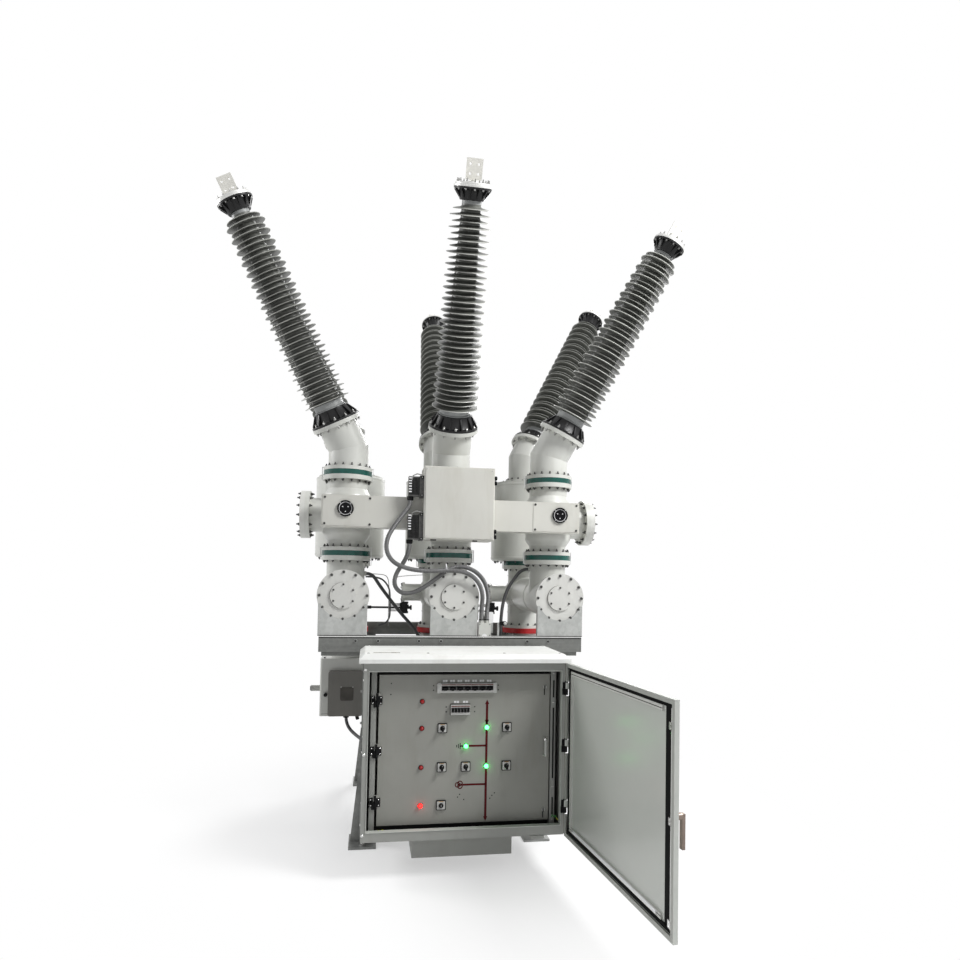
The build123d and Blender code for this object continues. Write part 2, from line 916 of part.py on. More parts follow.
# Rails on the front legs that carry the cabinet
with BuildPart() as cabinet_rails:
    leg_face = -leg_centre_y - leg_side / 2
    for drop in rail_drops:
        with Locations((cabinet_offset, (cabinet_back + leg_face) / 2, cabinet_top - drop)):
            Box(cabinet_width - 2 * rail_inset, leg_face - cabinet_back, rail_height)
write(cabinet_rails.part, "cabinet_rails")

# Cabinet shell: sheet walls and a folded border round the front opening
with BuildPart() as cabinet_shell:
    shell_centre = (cabinet_offset, (cabinet_front + cabinet_back) / 2, (cabinet_top + cabinet_bottom) / 2)
    with Locations(shell_centre):
        Box(cabinet_width, cabinet_depth, cabinet_height)
        Box(
            cabinet_width - 2 * cabinet_wall,
            cabinet_depth - 2 * cabinet_wall,
            cabinet_height - 2 * cabinet_wall,
            mode=Mode.SUBTRACT,
        )
    opening_left = cabinet_left + border_left
    opening_right = cabinet_right - border_right
    opening_bottom = cabinet_bottom + border_bottom
    opening_top = cabinet_top - border_top
    with BuildSketch(Plane.XZ.offset(-cabinet_front)):
        with Locations(((opening_left + opening_right) / 2, (opening_bottom + opening_top) / 2)):
            Rectangle(opening_right - opening_left, opening_top - opening_bottom)
    extrude(amount=-cabinet_wall, mode=Mode.SUBTRACT)
write(cabinet_shell.part, "cabinet_shell")

# Roof: a lipped cap with bevelled edges
with BuildPart() as cabinet_roof:
    roof_width = cabinet_width + 2 * roof_overhang
    roof_front = cabinet_front - roof_overhang
    roof_depth = cabinet_back - roof_front
    with BuildSketch(upright(cabinet_offset, roof_front + roof_depth / 2, cabinet_top)):
        Rectangle(roof_width, roof_depth)
    extrude(amount=roof_lip_height)
    with BuildSketch(upright(cabinet_offset, roof_front + roof_depth / 2, cabinet_top + roof_lip_height)):
        Rectangle(roof_width, roof_depth)
    extrude(amount=roof_rise, taper=0)
    top_edges = cabinet_roof.faces().sort_by(Axis.Z)[-1].edges()
    chamfer(top_edges, length=roof_rise, length2=roof_bevel)
write(cabinet_roof.part, "cabinet_roof")

# Outer door, drawn open on a plane through its hinge axis
hinge_x = cabinet_right + hinge_offset_x
hinge_y = cabinet_front - hinge_offset_y
door_turn = radians(180 + door_open)
door_plane = Plane(
    origin=(hinge_x, hinge_y, 0),
    x_dir=(cos(door_turn), sin(door_turn), 0),
    z_dir=(sin(door_turn), -cos(door_turn), 0),
)
door_inner = hinge_offset_y - door_gap
door_outer = door_inner - door_thickness
door_end = hinge_x - cabinet_left
door_lip_start = door_edge
handle_x = door_end - handle_from_edge
handle_z = cabinet_top - handle_drop
with BuildPart() as cabinet_door:
    with BuildSketch(door_plane.offset(door_outer)):
        with Locations(((door_lip_start + door_end) / 2, (cabinet_top + cabinet_bottom) / 2)):
            Rectangle(door_end - door_lip_start, cabinet_height)
    extrude(amount=door_thickness)
    with BuildSketch(door_plane.offset(door_outer + cabinet_wall)):
        with Locations(((door_lip_start + door_end) / 2, (cabinet_top + cabinet_bottom) / 2)):
            Rectangle(
                door_end - door_lip_start - 2 * cabinet_wall,
                cabinet_height - 2 * cabinet_wall,
            )
    extrude(amount=door_thickness, mode=Mode.SUBTRACT)
    for drop in hinge_drops:
        notch_z = cabinet_top - drop - knuckle_height
        with BuildSketch(door_plane.offset(door_outer + cabinet_wall)):
            with Locations((door_lip_start, notch_z)):
                Rectangle(3 * cabinet_wall, 2 * (knuckle_height + hinge_notch))
        extrude(amount=door_thickness, mode=Mode.SUBTRACT)
    for drop in hinge_drops:
        leaf_z = cabinet_top - drop - knuckle_height / 2
        with BuildSketch(door_plane.offset(door_outer + cabinet_wall)):
            with Locations((knuckle_radius / 2, leaf_z)):
                Rectangle(
                    hinge_block,
                    knuckle_height - hinge_gap,
                    align=(Align.MIN, Align.CENTER),
                )
        extrude(amount=-(door_outer + cabinet_wall) - 2)
        with BuildSketch(upright(hinge_x, hinge_y, cabinet_top - drop - knuckle_height + hinge_gap / 2)):
            Circle(knuckle_radius)
        extrude(amount=knuckle_height - hinge_gap)
        with BuildSketch(upright(hinge_x, hinge_y, cabinet_top - drop - knuckle_height)):
            Circle(hinge_pin_radius + rotary_gap)
        extrude(amount=knuckle_height - 3, mode=Mode.SUBTRACT)
    with BuildSketch(door_plane.offset(door_outer)):
        with Locations((handle_x, handle_z)):
            RectangleRounded(handle_plate_width, handle_plate_height, 8)
    extrude(amount=-handle_plate_thickness)
write(cabinet_door.part, "cabinet_door")

# Fixed halves of the door hinges, with their pins
with BuildPart() as door_hinges:
    for drop in hinge_drops:
        low = cabinet_top - drop - 2 * knuckle_height
        with BuildSketch(upright(hinge_x, hinge_y, low)):
            Circle(knuckle_radius)
        extrude(amount=knuckle_height - hinge_gap / 2)
        with Locations(
            (
                hinge_x - hinge_block / 2,
                (hinge_y + cabinet_front) / 2,
                low + (knuckle_height - hinge_gap / 2) / 2,
            )
        ):
            Box(hinge_block, cabinet_front - hinge_y, knuckle_height - hinge_gap / 2)
        with BuildSketch(upright(hinge_x, hinge_y, low)):
            Circle(hinge_pin_radius)
        extrude(amount=2 * knuckle_height - 6)
write(door_hinges.part, "door_hinges")

# Latch rod inside the door, with its guide blocks
with BuildPart() as latch_rod:
    rod_x = door_end - latch_rod_from_edge
    rod_plane_z = door_outer + cabinet_wall + latch_rod_radius
    rod_low = cabinet_bottom + 40
    rod_base = door_plane.from_local_coords((rod_x, rod_low, rod_plane_z))
    with BuildSketch(upright(rod_base.X, rod_base.Y, rod_base.Z)):
        Circle(latch_rod_radius)
    extrude(amount=cabinet_height - 80)
    for drop in latch_guide_drops:
        with BuildSketch(door_plane.offset(door_outer + cabinet_wall)):
            with Locations((rod_x, cabinet_top - drop)):
                Rectangle(latch_guide_width, latch_guide_height)
        extrude(amount=latch_guide_depth)
write(latch_rod.part, "latch_rod")

# Turning lever of the outer door's handle
with BuildPart() as door_handle:
    lever_face = door_outer - handle_plate_thickness - hinge_gap / 2
    with BuildSketch(door_plane.offset(lever_face)):
        with Locations((handle_x, handle_z)):
            Circle(handle_boss_radius)
    extrude(amount=-handle_standoff)
    with BuildSketch(door_plane.offset(lever_face - handle_standoff)):
        with Locations((handle_x, handle_z + handle_lever_width / 2)):
            Rectangle(
                handle_lever_width,
                handle_lever_length + handle_lever_width,
                align=(Align.CENTER, Align.MAX),
            )
    extrude(amount=-handle_lever_thickness)
write(door_handle.part, "door_handle")

# Stiles inside the cabinet that carry the swing panel
panel_front = cabinet_front + panel_setback
panel_left = cabinet_left + panel_left_gap
panel_right = panel_left + panel_width
panel_top = cabinet_top - panel_top_drop
panel_bottom = cabinet_bottom + panel_bottom_rise
panel_hinge_x = panel_left - panel_hinge_gap
panel_hinge_y = panel_front - knuckle_radius
with BuildPart() as panel_stiles:
    stile_y = panel_front + stile_depth / 2 + 2
    stile_height = cabinet_height - 2 * cabinet_wall
    stile_z = (cabinet_top + cabinet_bottom) / 2
    for stile_x in (panel_hinge_x - stile_width / 2 - 4, panel_right + stile_width / 2 + 8):
        with Locations((stile_x, stile_y, stile_z)):
            Box(stile_width, stile_depth, stile_height)
    for drop in panel_hinge_drops:
        low = panel_top - drop - panel_hinge_height
        with BuildSketch(upright(panel_hinge_x, panel_hinge_y, low)):
            Circle(knuckle_radius)
        extrude(amount=panel_hinge_height - hinge_gap / 2)
        with Locations((panel_hinge_x - 10, panel_hinge_y + 4, low + panel_hinge_height / 2 - hinge_gap / 4)):
            Box(20, 8, panel_hinge_height - hinge_gap / 2)
        with BuildSketch(upright(panel_hinge_x, panel_hinge_y, low)):
            Circle(hinge_pin_radius)
        extrude(amount=2 * panel_hinge_height - 6)
write(panel_stiles.part, "panel_stiles")

# Swing panel: a sheet with lips folded to the back
with BuildPart() as swing_panel:
    panel_centre_x = (panel_left + panel_right) / 2
    panel_centre_z = (panel_top + panel_bottom) / 2
    with BuildSketch(Plane.XZ.offset(-panel_front)):
        with Locations((panel_centre_x, panel_centre_z)):
            Rectangle(panel_width, panel_top - panel_bottom)
    extrude(amount=-panel_lip)
    with BuildSketch(Plane.XZ.offset(-(panel_front + cabinet_wall))):
        with Locations((panel_centre_x, panel_centre_z)):
            Rectangle(panel_width - 2 * cabinet_wall, panel_top - panel_bottom - 2 * cabinet_wall)
    extrude(amount=-panel_lip, mode=Mode.SUBTRACT)
    for drop in panel_hinge_drops:
        low = panel_top - drop
        with Locations((panel_hinge_x + 12, panel_front - 3, low + panel_hinge_height / 2)):
            Box(24, 6, panel_hinge_height - hinge_gap)
        with BuildSketch(upright(panel_hinge_x, panel_hinge_y, low + hinge_gap / 2)):
            Circle(knuckle_radius)
        extrude(amount=panel_hinge_height - hinge_gap)
        with BuildSketch(upright(panel_hinge_x, panel_hinge_y, low)):
            Circle(hinge_pin_radius + rotary_gap)
        extrude(amount=panel_hinge_height - 3, mode=Mode.SUBTRACT)
write(swing_panel.part, "swing_panel")


def on_panel(x, drop):
    """Front plane of the panel at a place given from the cabinet's middle and top."""
    return Plane(
        origin=(cabinet_offset + x, panel_front, cabinet_top - drop),
        x_dir=(1, 0, 0),
        z_dir=(0, -1, 0),
    )


red_lamps = [
    (lamp_column, top_lamp_drop),
    (lamp_column, upper_switch_drop),
    (lamp_column, lower_switch_drop),
    (lamp_column, bottom_row_drop),
]
green_lamps = [
    (mimic_column, upper_switch_drop),
    (middle_switch_column, earth_lamp_drop),
    (mimic_column, lower_switch_drop),
]
switch_places = [
    (left_switch_column, upper_switch_drop),
    (right_switch_column, upper_switch_drop),
    (left_switch_column, lower_switch_drop),
    (middle_switch_column, lower_switch_drop),
    (right_switch_column, lower_switch_drop),
]
key_switch_place = (left_switch_column, bottom_row_drop)
breaker_rows = [
    (breaker_row_left, breaker_row_right, breaker_row_drop, breaker_row_height),
    (small_row_left, small_row_right, small_row_drop, small_row_height),
]


# Breaker rows, switch plates, the pull and the latches on the panel
with BuildPart() as panel_devices:
    for left, right, drop, height in breaker_rows:
        with BuildSketch(on_panel((left + right) / 2, drop + height / 2)):
            Rectangle(right - left, height)
        extrude(amount=breaker_depth)
    for place in switch_places + [key_switch_place]:
        with BuildSketch(on_panel(*place)):
            RectangleRounded(switch_plate, switch_plate, 4)
        extrude(amount=switch_plate_thickness)
    pull_x = panel_right - pull_from_edge - cabinet_offset
    for foot_drop in (pull_drop - pull_height / 2, pull_drop + pull_height / 2):
        with BuildSketch(on_panel(pull_x, foot_drop)):
            Circle(pull_radius)
        extrude(amount=pull_standoff)
    with BuildSketch(on_panel(pull_x, pull_drop).offset(pull_standoff - pull_radius)):
        Rectangle(2 * pull_radius, pull_height)
    extrude(amount=2 * pull_radius)
    for drop in panel_latch_drops:
        with BuildSketch(on_panel(pull_x, drop)):
            Circle(panel_latch_radius)
        extrude(amount=panel_latch_depth)
write(panel_devices.part, "panel_devices")

# Indicator lamps
with BuildPart() as lamps:
    for place in red_lamps + green_lamps:
        with BuildSketch(on_panel(*place)):
            Circle(lamp_radius)
        extrude(amount=lamp_depth)
write(lamps.part, "indicator_lamps")

# Turning knobs of the cam switches, upright at rest
for index, place in enumerate(switch_places, start=1):
    with BuildPart() as knob:
        knob_base = on_panel(*place).offset(switch_plate_thickness + hinge_gap / 2)
        with BuildSketch(knob_base):
            Circle(knob_radius)
        extrude(amount=knob_length)
        with BuildSketch(knob_base.offset(knob_length)):
            Rectangle(knob_grip_width, 2 * knob_radius - 6)
        extrude(amount=knob_grip_length)
    write(knob.part, f"switch_knob_{index}")

# Junction box on the front channel, with two glands on top
with BuildPart() as junction_box:
    junction_y = frame_front + junction_depth / 2 + 5
    with Locations((junction_x, junction_y, frame_top + junction_height / 2)):
        Box(junction_width, junction_depth, junction_height)
    for side in (-1, 1):
        gland_x = junction_x + side * junction_gland_pitch / 2
        with BuildSketch(upright(gland_x, junction_y, frame_top + junction_height)):
            Circle(junction_gland_pitch / 2 - 1)
        extrude(amount=junction_gland_length)
write(junction_box.part, "junction_box")


# Conduits and hoses: straight runs joined by arcs that are as large as the runs allow
def tube(name, points, diameter):
    corners = [Vector(point) for point in points]
    radii = []
    for before, corner, after in zip(corners[:-2], corners[1:-1], corners[2:]):
        turn = (corner - before).get_angle(after - corner)
        shorter = min((corner - before).length, (after - corner).length)
        radii.append(run_share * shorter / tan(radians(turn / 2)))
    print(name, "radii", [round(radius) for radius in radii])
    with BuildPart() as piece:
        with BuildLine() as route:
            FilletPolyline(*corners, radius=radii)
        start_direction = corners[1] - corners[0]
        with BuildSketch(Plane(origin=corners[0], z_dir=start_direction)):
            Circle(diameter / 2)
        sweep(path=route.wires()[0])
    length = route.wires()[0].length
    ideal = length * 3.14159265 * diameter**2 / 4
    print(name, "length", round(length), "volume share", round(piece.part.volume / ideal, 4))
    write(piece.part, name)


upper_exit_z = frame_top + connector_spans[0][0] + 6 - connector_gland_length
lower_exit_z = frame_top + connector_spans[1][0] + 6 - connector_gland_length
junction_entry_z = frame_top + junction_height + junction_gland_length
tube(
    "conduit_upper",
    [
        (conduit_exit_x, connector_y, upper_exit_z),
        (conduit_exit_x, connector_y, 2142),
        (-340, -664, 2088),
        (-395, -676, 2010),
        (-442, -684, 1930),
        (-448, -690, 1845),
        (-405, -694, 1775),
        (-325, -698, 1738),
        (-225, -700, 1722),
        (-115, -702, 1724),
        (-5, -700, 1732),
        (90, -692, 1712),
        (160, -676, 1650),
        (186, -660, 1570),
        (junction_x - junction_gland_pitch / 2, junction_y, 1488),
        (junction_x - junction_gland_pitch / 2, junction_y, junction_entry_z),
    ],
    conduit_diameter,
)
tube(
    "conduit_lower",
    [
        (conduit_exit_x, connector_y, lower_exit_z),
        (conduit_exit_x, connector_y, 1850),
        (-330, -630, 1775),
        (-378, -612, 1705),
        (-392, -608, 1630),
        (-345, -614, 1575),
        (-268, -626, 1578),
        (-195, -648, 1618),
        (-122, -668, 1676),
        (-50, -664, 1733),
        (25, -660, 1758),
        (100, -656, 1746),
        (168, -650, 1702),
        (212, -645, 1632),
        (228, -640, 1552),
        (junction_x + junction_gland_pitch / 2, junction_y, 1478),
        (junction_x + junction_gland_pitch / 2, junction_y, junction_entry_z),
    ],
    conduit_diameter,
)

# Cable entries: the box under the cabinet and the glands on its back
left_gland = (-190, 1090)
right_gland = (372, 1090)
mechanism_gland = (-400, 478)
with BuildPart() as cable_entries:
    with Locations(
        (cabinet_offset, cabinet_front + 64 + gland_box_depth / 2, cabinet_bottom - gland_box_height / 2)
    ):
        Box(gland_box_width, gland_box_depth, gland_box_height)
    for gland_x, gland_z in (left_gland, right_gland, mechanism_gland):
        with BuildSketch(Plane.XZ.offset(-cabinet_back)):
            with Locations((gland_x, gland_z)):
                RegularPolygon(cabinet_gland_radius, 6)
        extrude(amount=-cabinet_gland_length)
write(cable_entries.part, "cable_entries")

gland_end = cabinet_back + cabinet_gland_length
tube(
    "hose_left",
    [
        (phase_x["left"] + hose_boss_reach, riser_y, hose_boss_z["left"]),
        (-528, riser_y, hose_boss_z["left"]),
        (-478, -300, 1622),
        (-402, -268, 1524),
        (-318, -238, 1420),
        (-232, -212, 1328),
        (-172, -205, 1228),
        (-166, -262, 1138),
        (-180, -380, 1096),
        (left_gland[0], -520, left_gland[1]),
        (left_gland[0], gland_end, left_gland[1]),
    ],
    hose_diameter,
)
tube(
    "hose_right",
    [
        (phase_x["right"] - hose_boss_reach, riser_y, hose_boss_z["right"]),
        (526, riser_y, hose_boss_z["right"]),
        (470, -322, 1690),
        (415, -330, 1606),
        (385, -334, 1508),
        (374, -336, 1406),
        (370, -338, 1300),
        (368, -356, 1196),
        (370, -420, 1116),
        (right_gland[0], -530, right_gland[1]),
        (right_gland[0], gland_end, right_gland[1]),
    ],
    hose_diameter,
)
tube(
    "conduit_mechanism",
    [
        (phase_x["left"] + 8, 330, mechanism_z - mechanism_height),
        (phase_x["left"] + 8, 330, 560),
        (-672, 296, 505),
        (-615, 222, 470),
        (-555, 110, 455),
        (-508, -26, 448),
        (-468, -180, 450),
        (-435, -338, 458),
        (-412, -490, 470),
        (mechanism_gland[0], -600, mechanism_gland[1]),
        (mechanism_gland[0], gland_end, mechanism_gland[1]),
    ],
    mechanism_conduit_diameter,
)
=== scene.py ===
"""Looks of a three-phase hybrid gas-insulated switchgear bay. Metres, in the frame's own axes."""
from math import cos, pi, radians, sin

import bpy
from mathutils import Matrix, Vector


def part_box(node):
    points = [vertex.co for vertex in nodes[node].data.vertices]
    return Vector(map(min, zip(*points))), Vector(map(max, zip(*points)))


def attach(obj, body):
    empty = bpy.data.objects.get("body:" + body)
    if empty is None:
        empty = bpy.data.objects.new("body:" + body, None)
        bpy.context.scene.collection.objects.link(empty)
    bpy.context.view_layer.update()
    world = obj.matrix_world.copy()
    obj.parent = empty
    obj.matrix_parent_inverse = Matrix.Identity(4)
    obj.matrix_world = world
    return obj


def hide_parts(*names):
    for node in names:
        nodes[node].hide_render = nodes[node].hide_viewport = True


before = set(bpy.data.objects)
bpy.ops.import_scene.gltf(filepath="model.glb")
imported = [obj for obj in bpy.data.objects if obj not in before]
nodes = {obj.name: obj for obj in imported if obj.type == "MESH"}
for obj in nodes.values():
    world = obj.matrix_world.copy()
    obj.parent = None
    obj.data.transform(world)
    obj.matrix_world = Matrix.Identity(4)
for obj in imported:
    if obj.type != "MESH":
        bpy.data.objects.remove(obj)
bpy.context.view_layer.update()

# Planes of the row, read from the frame
tank_low, tank_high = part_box("breaker_tank_left")
flange_radius = (tank_high.x - tank_low.x) / 2
pitch = -(tank_low.x + tank_high.x) / 2
phases = {"left": -pitch, "centre": 0.0, "right": pitch}
frame_low, frame_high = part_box("base_frame")
frame_top = frame_high.z
cover_back = tank_low.y
cover_front = cover_back - 0.030
barrel_z = frame_top + 0.253
riser_y = cover_front + 0.333
column_y = riser_y + 0.747
rear_flange_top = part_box("current_transformers")[0].z - 0.034
ct_low, ct_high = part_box("current_transformers")
beam_low, beam_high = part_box("drive_beams")
box_low, box_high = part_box("operating_box")
shell_low, shell_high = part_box("cabinet_shell")
panel_low, panel_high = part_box("swing_panel")
roof_low, roof_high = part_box("cabinet_roof")
ring_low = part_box("foot_rings")[0]
mech_low, mech_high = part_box("drive_mechanisms")

# Flange joints on the risers
lower_joint = frame_top + 0.529
upper_joint = frame_top + 1.071
half_insulator = 0.017
thick_flange = 0.030
thin_flange = 0.024
foot_bolt_radius = 0.138
housing_z = frame_top + 0.787

# Bushings
lean = radians(30)
fan = {"left": -radians(60), "centre": 0.0, "right": radians(60)}
rows = {"front": (-1, frame_top + 1.249, 0.200, riser_y), "rear": (1, frame_top + 1.362, 0.150, column_y)}
bushing_length = 1.444
base_height = 0.088
collar_height = 0.045
top_collar_height = 0.018
cap_height = 0.070
cap_plate = 0.024
shed_pairs = 18


def new_object(name, data):
    piece = bpy.data.objects.new(name, data)
    bpy.context.scene.collection.objects.link(piece)
    return piece


# Shapes: faces gathered in the row frame, made into one object
class Shape:
    """Gathers vertices and faces, each face with a material number."""

    def __init__(self):
        self.verts = []
        self.faces = []
        self.marks = []

    def add(self, place, points, faces, mark=0):
        start = len(self.verts)
        self.verts += [place @ Vector(point) for point in points]
        self.faces += [[start + index for index in face] for face in faces]
        self.marks += [mark] * len(faces)

    def lathe(self, place, profile, sides=48, mark=0, marks=None):
        """Turns (radius, height) pairs about the place's z axis; a radius of 0 closes an end."""
        points = []
        rings = []
        for radius, height in profile:
            if radius == 0:
                rings.append([len(points)] * sides)
                points.append((0, 0, height))
            else:
                first = len(points)
                rings.append([first + side for side in range(sides)])
                for side in range(sides):
                    angle = 2 * pi * side / sides
                    points.append((radius * cos(angle), radius * sin(angle), height))
        start = len(self.verts)
        self.verts += [place @ Vector(point) for point in points]
        for index, (low, high) in enumerate(zip(rings, rings[1:])):
            shade = marks[index] if marks else mark
            for side in range(sides):
                after = (side + 1) % sides
                face = []
                for corner in (low[side], low[after], high[after], high[side]):
                    if corner not in face:
                        face.append(corner)
                if len(face) > 2:
                    self.faces.append([start + corner for corner in face])
                    self.marks.append(shade)

    def disc(self, place, radius, high, sides, mark=0):
        """A plain cylinder, or a nut where it has six sides."""
        self.lathe(place, [(0, 0), (radius, 0), (radius, high), (0, high)], sides, mark)

    def prism(self, place, outline, low, high, mark=0):
        """Raises a closed outline of (x, y) pairs from low to high along the place's z axis."""
        count = len(outline)
        points = [(x, y, low) for x, y in outline] + [(x, y, high) for x, y in outline]
        faces = [list(range(count))[::-1], list(range(count, 2 * count))]
        for index in range(count):
            after = (index + 1) % count
            faces.append([index, after, count + after, count + index])
        self.add(place, points, faces, mark)

    def block(self, place, width, depth, low, high, mark=0, corner=0.0):
        """A box or, with a corner radius, a rounded plate, centred on the place."""
        self.prism(place, rounded(width, depth, corner), low, high, mark)

    def ring_frame(self, place, width, depth, band, low, high, mark=0):
        """A rectangular frame of four bars, its outer size given, the bars band metres wide."""
        for side in (-1, 1):
            x = side * (width / 2 - band / 2)
            y = side * (depth / 2 - band / 2)
            self.block(shift(place, x, 0), band, depth, low, high, mark)
            self.block(shift(place, 0, y), width - 2 * band, band, low, high, mark)

    def tube(self, points, radius, sides=12, mark=0):
        """A round bar along points, its radius a number or one number for each point."""
        radii = radius if isinstance(radius, list) else [radius] * len(points)
        line = [Vector(point) for point in points]
        rings = []
        side_way = None
        for index, point in enumerate(line):
            ahead = line[min(index + 1, len(line) - 1)] - line[max(index - 1, 0)]
            ahead.normalize()
            if side_way is None:
                side_way = ahead.orthogonal().normalized()
            side_way = (side_way - ahead * side_way.dot(ahead)).normalized()
            other = ahead.cross(side_way)
            ring = []
            for side in range(sides):
                angle = 2 * pi * side / sides
                ring.append(point + (side_way * cos(angle) + other * sin(angle)) * radii[index])
            rings.append(ring)
        start = len(self.verts)
        for ring in rings:
            self.verts += ring
        for index in range(len(rings) - 1):
            for side in range(sides):
                after = (side + 1) % sides
                low = start + index * sides
                self.faces.append([low + side, low + after, low + sides + after, low + sides + side])
                self.marks.append(mark)
        last = start + (len(rings) - 1) * sides
        self.faces.append([start + side for side in range(sides)][::-1])
        self.faces.append([last + side for side in range(sides)])
        self.marks += [mark, mark]

    def make(self, name, body, materials, bevel=0.0, stands_for=()):
        mesh = bpy.data.meshes.new(name)
        mesh.from_pydata(self.verts, [], self.faces)
        for material in materials:
            mesh.materials.append(material)
        mesh.polygons.foreach_set("material_index", self.marks)
        mesh.polygons.foreach_set("use_smooth", [True] * len(self.faces))
        mesh.set_sharp_from_angle(angle=radians(32))
        mesh.update()
        piece = new_object(name, mesh)
        if bevel:
            soften(piece, bevel)
        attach(piece, body)
        if stands_for:
            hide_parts(*stands_for)
        return piece


def soften(piece, width, segments=2):
    """A small round on the sharp edges of a piece."""
    bevel = piece.modifiers.new("soft_edges", "BEVEL")
    bevel.width = width
    bevel.segments = segments
    bevel.limit_method = "ANGLE"
    bevel.angle_limit = radians(40)
    bevel.harden_normals = False


def rounded(width, depth, corner, steps=4):
    """Outline of a rectangle with round corners."""
    if not corner:
        return [
            (-width / 2, -depth / 2), (width / 2, -depth / 2), (width / 2, depth / 2),
            (-width / 2, depth / 2),
        ]
    outline = []
    for side_x, side_y, start in ((1, -1, -pi / 2), (1, 1, 0), (-1, 1, pi / 2), (-1, -1, pi)):
        for step in range(steps + 1):
            angle = start + pi / 2 * step / steps
            x = side_x * (width / 2 - corner) + corner * cos(angle)
            y = side_y * (depth / 2 - corner) + corner * sin(angle)
            outline.append((x, y))
    return outline


def columns(*vectors):
    """A frame from its three axes and its origin."""
    matrix = Matrix.Identity(4)
    for column, vector in enumerate(vectors):
        for row in range(3):
            matrix[row][column] = vector[row]
    return matrix


def place(origin, normal, along=None):
    """A frame at a point, its z axis along the normal and its x axis near the given way."""
    z = Vector(normal).normalized()
    x = Vector(along) if along else z.orthogonal()
    x = (x - z * x.dot(z)).normalized()
    return columns(x, z.cross(x), z, origin)


def shift(base, x, y, z=0.0):
    return base @ Matrix.Translation((x, y, z))


def up(x, y, z):
    return place((x, y, z), (0, 0, 1), (1, 0, 0))


def down(x, y, z):
    return place((x, y, z), (0, 0, -1), (1, 0, 0))


def front(x, y, z):
    """A frame on a face that looks to the front: local x to the right, local y up."""
    return place((x, y, z), (0, -1, 0), (1, 0, 0))


def back(x, y, z):
    return place((x, y, z), (0, 1, 0), (1, 0, 0))


def side_on(x, y, z, way):
    """A frame on a face that looks to the right, or to the left where way is -1: local x to the back."""
    return place((x, y, z), (way, 0, 0), (0, 1, 0))


def arc(shape, base, inner, outer, start, end, low, high, mark=0, steps=24):
    """A flat strip along part of a circle, thin at its two ends."""
    points = []
    for step in range(steps + 1):
        share = step / steps
        angle = start + (end - start) * share
        far = inner + (outer - inner) * sin(pi * share) ** 0.5
        for radius, height in ((inner, low), (far, low), (far, high), (inner, high)):
            points.append((radius * cos(angle), radius * sin(angle), height))
    faces = []
    for step in range(steps):
        for side in range(4):
            after = (side + 1) % 4
            faces.append([4 * step + side, 4 * step + after, 4 * step + 4 + after, 4 * step + 4 + side])
    shape.add(base, points, faces, mark)


def screw(shape, base, radius, mark=0):
    """A low round screw head with a dimple in its middle."""
    profile = [
        (0, 0), (radius, 0), (radius, radius * 0.35), (radius * 0.7, radius * 0.62),
        (radius * 0.3, radius * 0.62),
    ]
    shape.lathe(base, profile + [(radius * 0.2, radius * 0.3), (0, radius * 0.3)], 14, mark)


def bolt(shape, base, size, head=0, washer=1, stud=0.0):
    """Hexagon head with its washer, seated on the base's plane; a stud adds a threaded end."""
    turn = base @ Matrix.Rotation(0.4, 4, "Z")
    shape.disc(turn, size * 1.25, size * 0.2, 16, washer)
    low = size * 0.2
    top = low + size
    profile = [(0, low), (size, low), (size, top - size * 0.15), (size * 0.84, top), (0, top)]
    shape.lathe(turn, profile, 6, head)
    if stud:
        profile = [(size * 0.52, top), (size * 0.52, top + stud), (size * 0.4, top + stud), (0, top + stud)]
        shape.lathe(turn, profile, 10, head)


def bolt_ring(shape, base, radius, count, size, start=0.0, stud=0.0):
    """Bolts all round a circle on the base's plane."""
    for index in range(count):
        angle = start + 2 * pi * index / count
        bolt(shape, shift(base, radius * cos(angle), radius * sin(angle)), size, stud=stud)


# Materials: colour with cloudy variation, faint dirt runs, fine bump
def new_material(name):
    material = bpy.data.materials.new(name)
    material.use_nodes = True
    tree = material.node_tree
    shader = tree.nodes["Principled BSDF"]
    return material, tree, shader


def link(tree, output, target):
    tree.links.new(output, target)


def noise(tree, scale, detail=4.0, rough=0.55, stretch=None):
    """Noise in the row frame's own metres."""
    coordinates = tree.nodes.new("ShaderNodeTexCoord")
    source = coordinates.outputs["Object"]
    if stretch:
        mapping = tree.nodes.new("ShaderNodeMapping")
        mapping.inputs["Scale"].default_value = stretch
        link(tree, source, mapping.inputs["Vector"])
        source = mapping.outputs["Vector"]
    texture = tree.nodes.new("ShaderNodeTexNoise")
    texture.inputs["Scale"].default_value = scale
    texture.inputs["Detail"].default_value = detail
    texture.inputs["Roughness"].default_value = rough
    link(tree, source, texture.inputs["Vector"])
    return texture.outputs["Fac"]


def ramp(tree, value, stops):
    """A colour ramp: stops are (position, colour) pairs."""
    node = tree.nodes.new("ShaderNodeValToRGB")
    elements = node.color_ramp.elements
    while len(elements) < len(stops):
        elements.new(0.5)
    for element, (position, colour) in zip(elements, stops):
        element.position = position
        element.color = (*colour, 1.0)
    link(tree, value, node.inputs["Fac"])
    return node.outputs["Color"]


def mix(tree, share, first, second, blend="MIX"):
    node = tree.nodes.new("ShaderNodeMix")
    node.data_type = "RGBA"
    node.blend_type = blend
    for value, socket in ((share, node.inputs[0]), (first, node.inputs[6]), (second, node.inputs[7])):
        if isinstance(value, (int, float)):
            socket.default_value = value
        elif isinstance(value, tuple):
            socket.default_value = (*value, 1.0)
        else:
            link(tree, value, socket)
    return node.outputs[2]


